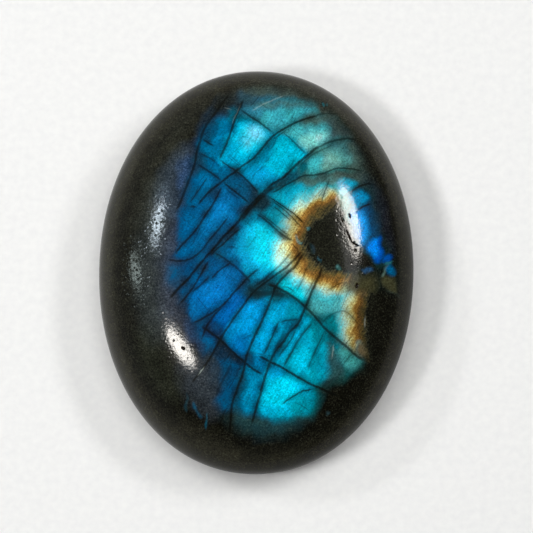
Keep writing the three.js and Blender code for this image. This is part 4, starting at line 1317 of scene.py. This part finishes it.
def labradorite(crack_names, hair_names, scratch_names):
    """Polished labradorite: a dark grey feldspar whose thin inner layers flash blue, cyan and gold. The
    flash lies under a glassy polish, is broken into blocks by healed fractures, and the polish is finely
    pitted."""
    material = bpy.data.materials.new("polished_labradorite")
    material.use_nodes = True
    tree = material.node_tree
    shader = tree.nodes["Principled BSDF"]
    place = add(tree, "ShaderNodeTexCoord")
    # 1000 turns metres into millimetres, so that every scale below is a count per millimetre
    spot = add(tree, "ShaderNodeMapping", {"Vector": place.outputs["Object"], "Scale": (1000, 1000, 1000)})

    # Fine mottling of the layers, 0.3 mm and finer, and broader clouds, 2 mm
    grain = add(
        tree, "ShaderNodeTexNoise", {"Vector": spot, "Scale": 3.4, "Detail": 3.0, "Roughness": 0.85}
    )
    cloud = add(
        tree, "ShaderNodeTexNoise", {"Vector": spot, "Scale": 0.5, "Detail": 3.0, "Roughness": 0.55}
    )
    # Cleavage streaks, 2.5 mm long and 0.25 mm wide, that lean as the long fractures do
    leaning = add(
        tree,
        "ShaderNodeMapping",
        {"Vector": spot, "Rotation": (0, 0, math.radians(60)), "Scale": (2.5, 0.25, 1.0)},
        vector_type="TEXTURE",
    )
    streak = add(tree, "ShaderNodeTexNoise", {"Vector": leaning, "Scale": 1.0, "Detail": 2.0})
    # Dark specks, 0.2 to 0.3 mm across, a millimetre or so apart
    speck_cells = add(tree, "ShaderNodeTexVoronoi", {"Vector": spot, "Scale": 0.9})
    specks = add(
        tree,
        "ShaderNodeMapRange",
        {"Value": speck_cells.outputs["Distance"], "From Min": 0.06, "From Max": 0.16, "To Min": 0.55,
         "To Max": 1.0},
    )
    # Each line's edge wavers, by 0.1 mm at most
    waver_noise = add(
        tree, "ShaderNodeTexNoise", {"Vector": spot, "Scale": 2.2, "Detail": 3.0, "Roughness": 0.7}
    )
    waver = add(
        tree,
        "ShaderNodeMapRange",
        {"Value": waver_noise, "From Min": 0.25, "From Max": 0.75, "To Min": -0.1, "To Max": 0.1},
    )
    # Each line is stronger in places
    fade = add(
        tree,
        "ShaderNodeMapRange",
        {"Value": grain, "From Min": 0.35, "From Max": 0.55, "To Min": 0.55, "To Max": 1.0},
    )
    group = line_group()

    def strongest(names):
        total = None
        for name in names:
            reading = add(tree, "ShaderNodeAttribute", attribute_name=name)
            line = add(tree, "ShaderNodeGroup", node_tree=group)
            tree.links.new(reading.outputs["Vector"], line.inputs["Reading"])
            tree.links.new(waver.outputs[0], line.inputs["Waver"])
            if total is None:
                total = line
            else:
                total = add(tree, "ShaderNodeMath", {0: total, 1: line}, operation="MAXIMUM")
        return total

    lines = strongest(crack_names + hair_names)
    cracks = add(tree, "ShaderNodeMath", {0: lines, 1: fade}, operation="MULTIPLY")
    scratches = strongest(scratch_names)

    painted_flash = add(tree, "ShaderNodeAttribute", attribute_name="flash")
    ring = add(tree, "ShaderNodeAttribute", attribute_name="ring")
    ring_light = add(tree, "ShaderNodeAttribute", attribute_name="ring_light")
    ring_shown = add(tree, "ShaderNodeAttribute", attribute_name="ring_shown")

    # Mottled strength: the grain, the streaks, the clouds and the specks each vary it
    mottle = add(
        tree,
        "ShaderNodeMapRange",
        {"Value": grain, "From Min": 0.3, "From Max": 0.7, "To Min": 0.45, "To Max": 1.55},
    )
    brush = add(
        tree,
        "ShaderNodeMapRange",
        {"Value": streak, "From Min": 0.3, "From Max": 0.7, "To Min": 0.82, "To Max": 1.18},
    )
    brushed = add(tree, "ShaderNodeMath", {0: mottle, 1: brush}, operation="MULTIPLY")
    texture = add(tree, "ShaderNodeMath", {0: brushed, 1: specks}, operation="MULTIPLY")

    # The flash's greens come and go with the clouds
    uneven = add(tree, "ShaderNodeMath", {0: cloud, 1: 0.3, 2: 0.85}, operation="MULTIPLY_ADD")
    tint = add(tree, "ShaderNodeCombineXYZ", {0: uneven, 1: uneven, 2: 1.0})
    tinted_flash = add(
        tree, "ShaderNodeVectorMath", {0: painted_flash.outputs["Vector"], 1: tint}, operation="MULTIPLY"
    )
    blue_light = add(tree, "ShaderNodeVectorMath", {0: tinted_flash, "Scale": texture}, operation="SCALE")

    # Gold rings: the ramp runs outwards from the dark place, frayed by clouds, streaks and grain
    cloud_fray = add(tree, "ShaderNodeMath", {0: cloud, 1: 0.5}, operation="SUBTRACT")
    grain_fray = add(tree, "ShaderNodeMath", {0: grain, 1: 0.5}, operation="SUBTRACT")
    streak_fray = add(tree, "ShaderNodeMath", {0: streak, 1: 0.5}, operation="SUBTRACT")
    frayed = add(
        tree, "ShaderNodeMath", {0: cloud_fray, 1: 0.3, 2: ring.outputs["Fac"]}, operation="MULTIPLY_ADD"
    )
    feathered = add(tree, "ShaderNodeMath", {0: streak_fray, 1: 0.2, 2: frayed}, operation="MULTIPLY_ADD")
    ring_place = add(
        tree, "ShaderNodeMath", {0: grain_fray, 1: 0.2, 2: feathered}, operation="MULTIPLY_ADD"
    )
    ramp_place = add(tree, "ShaderNodeMath", {0: ring_place, 1: 1.5}, operation="DIVIDE")
    gold = add(
        tree,
        "ShaderNodeValToRGB",
        {0: ramp_place},
        stops=[
            (0.0, "#0E100B"), (0.02, "#24261D"), (0.0625, "#3D3823"), (0.115, "#5B4E28"),
            (0.1875, "#785628"), (0.27, "#A87C36"), (0.325, "#C6AC60"), (0.375, "#D6D48E"),
            (0.479, "#BAE8D6"), (0.56, "#78E2E6"), (0.68, "#28D8EC"),
        ],
    )
    gold_amount = add(
        tree,
        "ShaderNodeMapRange",
        {"Value": ring_place, "From Min": 0.8, "From Max": 1.2, "To Min": 1.0, "To Max": 0.0},
        interpolation_type="SMOOTHSTEP",
    )
    gold_strength = add(
        tree, "ShaderNodeMath", {0: ring_light.outputs["Fac"], 1: texture}, operation="MULTIPLY"
    )
    gold_light = add(tree, "ShaderNodeVectorMath", {0: gold, "Scale": gold_strength}, operation="SCALE")
    gold_here = add(
        tree, "ShaderNodeMath", {0: gold_amount, 1: ring_shown.outputs["Fac"]}, operation="MULTIPLY"
    )
    flash = add(tree, "ShaderNodeMix", {0: gold_here, 6: blue_light, 7: gold_light}, data_type="RGBA")

    # The dark body: nearly black, olive to brown, with paler grains. It shows where the flash is weak.
    body = add(
        tree,
        "ShaderNodeValToRGB",
        {0: grain},
        stops=[(0.37, "#070705"), (0.5, "#11110B"), (0.59, "#1C1C14"), (0.71, "#3A3C32")],
    )
    flash_parts = add(tree, "ShaderNodeSeparateColor", {0: flash.outputs[2]})
    flash_height = add(
        tree, "ShaderNodeMath", {0: flash_parts, 1: flash_parts.outputs[2]}, operation="MAXIMUM"
    )
    cover = add(
        tree,
        "ShaderNodeMapRange",
        {"Value": flash_height, "From Min": 0.02, "From Max": 0.2, "To Min": 1.0, "To Max": 0.0},
    )
    # The haze adds the body's paler tones, and painted reflection haze at the left and round the rim
    haze = add(tree, "ShaderNodeAttribute", attribute_name="haze")
    haze_mottle = add(
        tree,
        "ShaderNodeMapRange",
        {"Value": grain, "From Min": 0.3, "From Max": 0.7, "To Min": 0.15, "To Max": 1.85},
    )
    mottled_haze = add(
        tree, "ShaderNodeVectorMath", {0: haze.outputs["Vector"], "Scale": haze_mottle}, operation="SCALE"
    )
    hazy_body = add(tree, "ShaderNodeVectorMath", {0: body, 1: mottled_haze}, operation="ADD")
    blotch = add(
        tree,
        "ShaderNodeMapRange",
        {"Value": cloud, "From Min": 0.3, "From Max": 0.7, "To Min": 0.7, "To Max": 1.3},
    )
    body_share = add(tree, "ShaderNodeMath", {0: blotch, 1: cover}, operation="MULTIPLY")
    body_seen = add(tree, "ShaderNodeVectorMath", {0: hazy_body, "Scale": body_share}, operation="SCALE")
    stone_colour = add(tree, "ShaderNodeVectorMath", {0: body_seen, 1: flash.outputs[2]}, operation="ADD")
    cracked = add(
        tree, "ShaderNodeMix", {0: cracks, 6: stone_colour, 7: hex_colour("#0E100C")}, data_type="RGBA"
    )
    scratched = add(
        tree,
        "ShaderNodeMix",
        {0: scratches, 6: cracked.outputs[2], 7: hex_colour("#C8D8D0")},
        data_type="RGBA",
    )
    # The open pits are filled with dark brown: partly dirt and partly painted shade
    pit_dirt_and_shade = add(tree, "ShaderNodeAttribute", attribute_name="pit_dirt_and_shade")
    with_pit_dirt_and_shade = add(
        tree,
        "ShaderNodeMix",
        {0: pit_dirt_and_shade.outputs["Fac"], 6: scratched.outputs[2], 7: hex_colour("#1A130B")},
        data_type="RGBA",
    )
    tree.links.new(with_pit_dirt_and_shade.outputs[2], shader.inputs["Base Color"])

    # The polish: it waves faintly, and small open pits, up to 0.45 mm wide, crowd where it is worn. Such
    # pits are finer on the real stone, and are drawn as coarse as they need to be to show.
    wear = add(tree, "ShaderNodeAttribute", attribute_name="wear")
    pit_cells = add(tree, "ShaderNodeTexVoronoi", {"Vector": spot, "Scale": 1.75})
    pit_slope = add(
        tree,
        "ShaderNodeMapRange",
        {"Value": pit_cells.outputs["Distance"], "From Min": 0.0, "From Max": 0.4, "To Min": 1.8,
         "To Max": 0.0},
    )
    pit_draw = add(tree, "ShaderNodeSeparateColor", {0: pit_cells.outputs["Color"]})
    pit_chance = add(
        tree, "ShaderNodeMath", {0: wear.outputs["Fac"], 1: 0.8, 2: pit_draw}, operation="MULTIPLY_ADD"
    )
    pit_chosen = add(
        tree,
        "ShaderNodeMapRange",
        {"Value": pit_chance, "From Min": 0.92, "From Max": 1.15, "To Min": 0.0, "To Max": 1.0},
    )
    pit_depth = add(tree, "ShaderNodeMath", {0: pit_slope, 1: pit_chosen}, operation="MULTIPLY")
    wave = add(tree, "ShaderNodeTexNoise", {"Vector": spot, "Scale": 2.0, "Detail": 3.0, "Roughness": 0.6})
    relief = add(tree, "ShaderNodeMath", {0: wave, 1: 1.0, 2: pit_depth}, operation="MULTIPLY_ADD")
    wear_height = add(
        tree, "ShaderNodeMath", {0: wear.outputs["Fac"], 1: 0.9, 2: 1.0}, operation="MULTIPLY_ADD"
    )
    height = add(tree, "ShaderNodeMath", {0: relief, 1: wear_height}, operation="MULTIPLY")
    bump = add(
        tree, "ShaderNodeBump", {"Strength": 1.0, "Distance": 0.00001, "Height": height}, invert=True
    )
    tree.links.new(bump.outputs[0], shader.inputs["Normal"])
    tree.links.new(bump.outputs[0], shader.inputs["Coat Normal"])
    shader.inputs["IOR"].default_value = 1.56
    shader.inputs["Specular IOR Level"].default_value = 0.02
    shader.inputs["Roughness"].default_value = 0.24
    shader.inputs["Coat Weight"].default_value = 0.38
    shader.inputs["Coat Roughness"].default_value = 0.07
    shader.inputs["Coat IOR"].default_value = 1.56
    return material


def make_stone():
    stone = rough_blank()
    stone.name = "polished_stone"
    grind_to_shape(stone)
    open_pits(stone)
    mesh = stone.data
    mesh.name = "polished_stone"
    for attribute in list(mesh.attributes):
        if not attribute.is_internal and not attribute.is_required:
            mesh.attributes.remove(attribute)
    points = read_points(mesh) / MM
    x, y = points[:, 0], points[:, 1]
    top = points[:, 2] > GIRDLE - GIRDLE_MARGIN
    u = x - DRAWING_SHIFT[0]
    v = y * DRAWING_STRETCH - DRAWING_SHIFT[1]
    crack_names = paint_lines(mesh, u, v, top, CRACKS, "crack")
    hair_names = paint_lines(mesh, u, v, top, make_hairs(), "hair", HAIR_REACH)
    scratch_names = paint_lines(mesh, u, v, top, SCRATCHES, "scratch")
    paint_flash(mesh, u, v, top)
    paint_wear_and_pit_fill(mesh, x, y, top)
    bpy.ops.object.select_all(action="DESELECT")
    stone.select_set(True)
    bpy.context.view_layer.objects.active = stone
    bpy.ops.object.shade_smooth()
    mesh.materials.clear()
    mesh.materials.append(labradorite(crack_names, hair_names, scratch_names))
    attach(stone, "root")
    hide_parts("stone")
    return stone


# The camera looks down on the stone, four degrees off straight down. It is turned a little, because
# the stone lies a little turned in the picture.
LENS = 190.0
SENSOR = 36.0
PICTURE_SIDE = 533
PIXELS_PER_MM = 6.282
CAMERA_ELEVATION = 86.0
CAMERA_TURN = 1.13
STONE_IN_PICTURE = (256.3, 272.0)


def make_camera():
    distance = LENS / SENSOR * PICTURE_SIDE / PIXELS_PER_MM
    elevation = math.radians(CAMERA_ELEVATION)
    back = Vector((0, -math.cos(elevation), math.sin(elevation)))
    target = Vector((0, 0, GIRDLE * MM))
    camera_data = bpy.data.cameras.new("camera")
    camera_data.lens = LENS
    camera_data.sensor_width = SENSOR
    camera_data.clip_start = 0.01
    camera_data.clip_end = 10
    camera_data.shift_x = (PICTURE_SIDE / 2 - STONE_IN_PICTURE[0]) / PICTURE_SIDE
    camera_data.shift_y = (STONE_IN_PICTURE[1] - PICTURE_SIDE / 2) / PICTURE_SIDE
    camera = bpy.data.objects.new("camera", camera_data)
    bpy.context.scene.collection.objects.link(camera)
    turned = Matrix.Rotation(math.radians(CAMERA_TURN), 3, "Z").to_quaternion()
    camera.location = target + back * distance * MM
    camera.rotation_mode = "QUATERNION"
    camera.rotation_quaternion = (-back).to_track_quat("-Z", "Y") @ turned
    bpy.context.scene.camera = camera


def paper():
    """Matt white paper: it scatters light evenly, and a faint tooth keeps it from looking like a void."""
    material = bpy.data.materials.new("white_paper")
    material.use_nodes = True
    tree = material.node_tree
    shader = tree.nodes["Principled BSDF"]
    place = add(tree, "ShaderNodeTexCoord")
    tooth = add(
        tree, "ShaderNodeTexNoise", {"Vector": place.outputs["Object"], "Scale": 900.0, "Detail": 3.0}
    )
    tone = add(tree, "ShaderNodeValToRGB", {0: tooth}, stops=[(0.3, "#ECECEB"), (0.7, "#F2F2F0")])
    # In the polish the table is dimmer further off, and at the right and the front, where it lies in shade
    far = add(tree, "ShaderNodeVectorMath", {0: place.outputs["Object"]}, operation="LENGTH")
    far_dim = add(
        tree,
        "ShaderNodeMapRange",
        {"Value": far.outputs["Value"], "From Min": 0.055, "From Max": 0.16, "To Min": 1.0, "To Max": 0.66},
    )
    heading = add(tree, "ShaderNodeVectorMath", {0: place.outputs["Object"]}, operation="NORMALIZE")
    side = add(tree, "ShaderNodeVectorMath", {0: heading, 1: (0.71, -0.71, 0.0)}, operation="DOT_PRODUCT")
    side_dim = add(
        tree,
        "ShaderNodeMapRange",
        {"Value": side.outputs["Value"], "From Min": 0.1, "From Max": 0.75, "To Min": 0.82, "To Max": 0.46},
        interpolation_type="SMOOTHSTEP",
    )
    dim = add(tree, "ShaderNodeMath", {0: far_dim, 1: side_dim}, operation="MULTIPLY")
    ray = add(tree, "ShaderNodeLightPath")
    seen = add(tree, "ShaderNodeMix", {0: ray.outputs["Is Glossy Ray"], 2: 1.0, 3: dim})
    colour = add(tree, "ShaderNodeVectorMath", {0: tone, "Scale": seen}, operation="SCALE")
    tree.links.new(colour.outputs[0], shader.inputs["Base Color"])
    shader.inputs["Roughness"].default_value = 0.9
    shader.inputs["Specular IOR Level"].default_value = 0.1
    return material


# The table lies a hair below the stone's resting flat, in metres
TABLE_SIZE = 2.4
TABLE_DROP = 0.00003


def make_table():
    bpy.ops.object.select_all(action="DESELECT")
    bpy.ops.mesh.primitive_plane_add(size=TABLE_SIZE, location=(0, 0, -TABLE_DROP))
    table = bpy.context.object
    table.name = "table"
    bpy.ops.object.transform_apply(location=True, rotation=True, scale=True)
    table.data.materials.append(paper())


# Lamps stand this far from the stone. azimuth is from x towards y, in degrees, and wide and tall are
# a lamp's sizes as seen from the stone, in degrees. light is how much of a white table's light comes
# from it.
LAMP_DISTANCE = 0.6
SOFTBOXES = {
    "right softbox": {"azimuth": 30.0, "elevation": 48.0, "wide": 19.5, "tall": 9.5, "light": 0.2},
    "left softbox": {"azimuth": -165.5, "elevation": 56.0, "wide": 11.5, "tall": 8.5, "light": 0.29},
    "left back softbox": {"azimuth": 153.0, "elevation": 43.0, "wide": 10.0, "tall": 5.5, "light": 0.1},
    "broad back fill": {"azimuth": 92.0, "elevation": 79.0, "wide": 38.0, "tall": 27.0, "light": 0.485},
}
# The same softboxes as the polish mirrors them, with their dim surrounds. bright is how bright each is,
# next to the table, and roll is how far its long side leans.
REFLECTIONS = {
    "right glint": {
        "azimuth": 24.4, "elevation": 48.0, "wide": 18.2, "tall": 9.4, "bright": 38.0, "roll": -5.0,
        "colour": "#FFFAF0"},
    "right surround": {
        "azimuth": 17.0, "elevation": 51.6, "wide": 27.0, "tall": 9.6, "bright": 2.0, "roll": -8.0},
    "left glint": {
        "azimuth": -151.2, "elevation": 56.2, "wide": 14.0, "tall": 6.2, "bright": 58.0, "roll": 28.0,
        "colour": "#FFFAF2"},
    "left surround": {
        "azimuth": -154.0, "elevation": 56.5, "wide": 19.0, "tall": 9.0, "bright": 1.1, "roll": 28.0},
    "left back glint": {
        "azimuth": 159.6, "elevation": 45.4, "wide": 10.0, "tall": 3.6, "bright": 66.0, "roll": 15.0,
        "colour": "#DDEEFA"},
    "left back surround": {
        "azimuth": 162.0, "elevation": 46.4, "wide": 16.0, "tall": 6.4, "bright": 0.7, "roll": 15.0,
        "colour": "#A8D0F0"},
    "left far glint": {
        "azimuth": 176.7, "elevation": 31.6, "wide": 12.0, "tall": 4.0, "bright": 15.0, "roll": 70.0,
        "colour": "#E0F4F0"},
}
ROOM_LIGHT = 0.06
BACKDROP = 0.85
# How bright the room's left wall is in the polish, just above the table
WALL = 0.5


def make_lamp(name, azimuth, elevation, wide, tall, light=None, bright=None, roll=0.0, colour="#FFFFFF"):
    lamp_data = bpy.data.lights.new(name, "AREA")
    lamp_data.shape = "ELLIPSE" if bright else "RECTANGLE"
    lamp_data.color = hex_colour(colour)[:3]
    lamp_data.size = 2 * LAMP_DISTANCE * math.tan(math.radians(wide) / 2)
    lamp_data.size_y = 2 * LAMP_DISTANCE * math.tan(math.radians(tall) / 2)
    around, up = math.radians(azimuth), math.radians(elevation)
    # A lamp of P watts and area A is P / (pi A) bright, and lights a table P sin(elevation) / (pi d)^2
    if bright:
        lamp_data.energy = bright * math.pi * lamp_data.size * lamp_data.size_y * math.pi / 4
    else:
        lamp_data.energy = light * (math.pi * LAMP_DISTANCE) ** 2 / math.sin(up)
    lamp = bpy.data.objects.new(name, lamp_data)
    bpy.context.scene.collection.objects.link(lamp)
    out = Vector((math.cos(around) * math.cos(up), math.sin(around) * math.cos(up), math.sin(up)))
    lamp.location = Vector((0, 0, GIRDLE * MM)) + out * LAMP_DISTANCE
    lamp.rotation_mode = "QUATERNION"
    lamp.rotation_quaternion = out.to_track_quat("Z", "Y") @ Quaternion((0, 0, 1), math.radians(roll))
    lamp.visible_camera = False
    return lamp


def make_lights():
    for name, softbox in SOFTBOXES.items():
        make_lamp(name, **softbox).visible_glossy = False
    for name, reflection in REFLECTIONS.items():
        make_lamp(name, **reflection).visible_diffuse = False
    world = bpy.data.worlds.new("studio")
    bpy.context.scene.world = world
    world.use_nodes = True
    tree = world.node_tree
    backdrop = tree.nodes["Background"]
    backdrop.inputs["Color"].default_value = hex_colour("#F0F1F2")
    # The polish mirrors a wall that is palest at the left and low down
    way = add(tree, "ShaderNodeTexCoord")
    parts = add(tree, "ShaderNodeSeparateXYZ", {0: way.outputs["Generated"]})
    upwards = add(
        tree,
        "ShaderNodeMapRange",
        {"Value": parts.outputs[2], "From Min": 0.0, "From Max": 0.6, "To Min": WALL, "To Max": 0.0},
    )
    leftwards = add(
        tree,
        "ShaderNodeMapRange",
        {"Value": parts, "From Min": -0.6, "From Max": 0.5, "To Min": 1.0, "To Max": 0.1},
    )
    wall = add(tree, "ShaderNodeMath", {0: upwards, 1: leftwards}, operation="MULTIPLY")
    # The room looks pale where the camera sees it, and gives little light
    ray = add(tree, "ShaderNodeLightPath")
    dim = add(tree, "ShaderNodeMix", {0: ray.outputs["Is Glossy Ray"], 2: ROOM_LIGHT, 3: wall})
    strength = add(tree, "ShaderNodeMix", {0: ray.outputs["Is Camera Ray"], 2: dim, 3: BACKDROP})
    tree.links.new(strength.outputs[0], backdrop.inputs["Strength"])


make_camera()
make_stone()
make_table()
make_lights()
bpy.context.scene.view_settings.view_transform = "Standard"
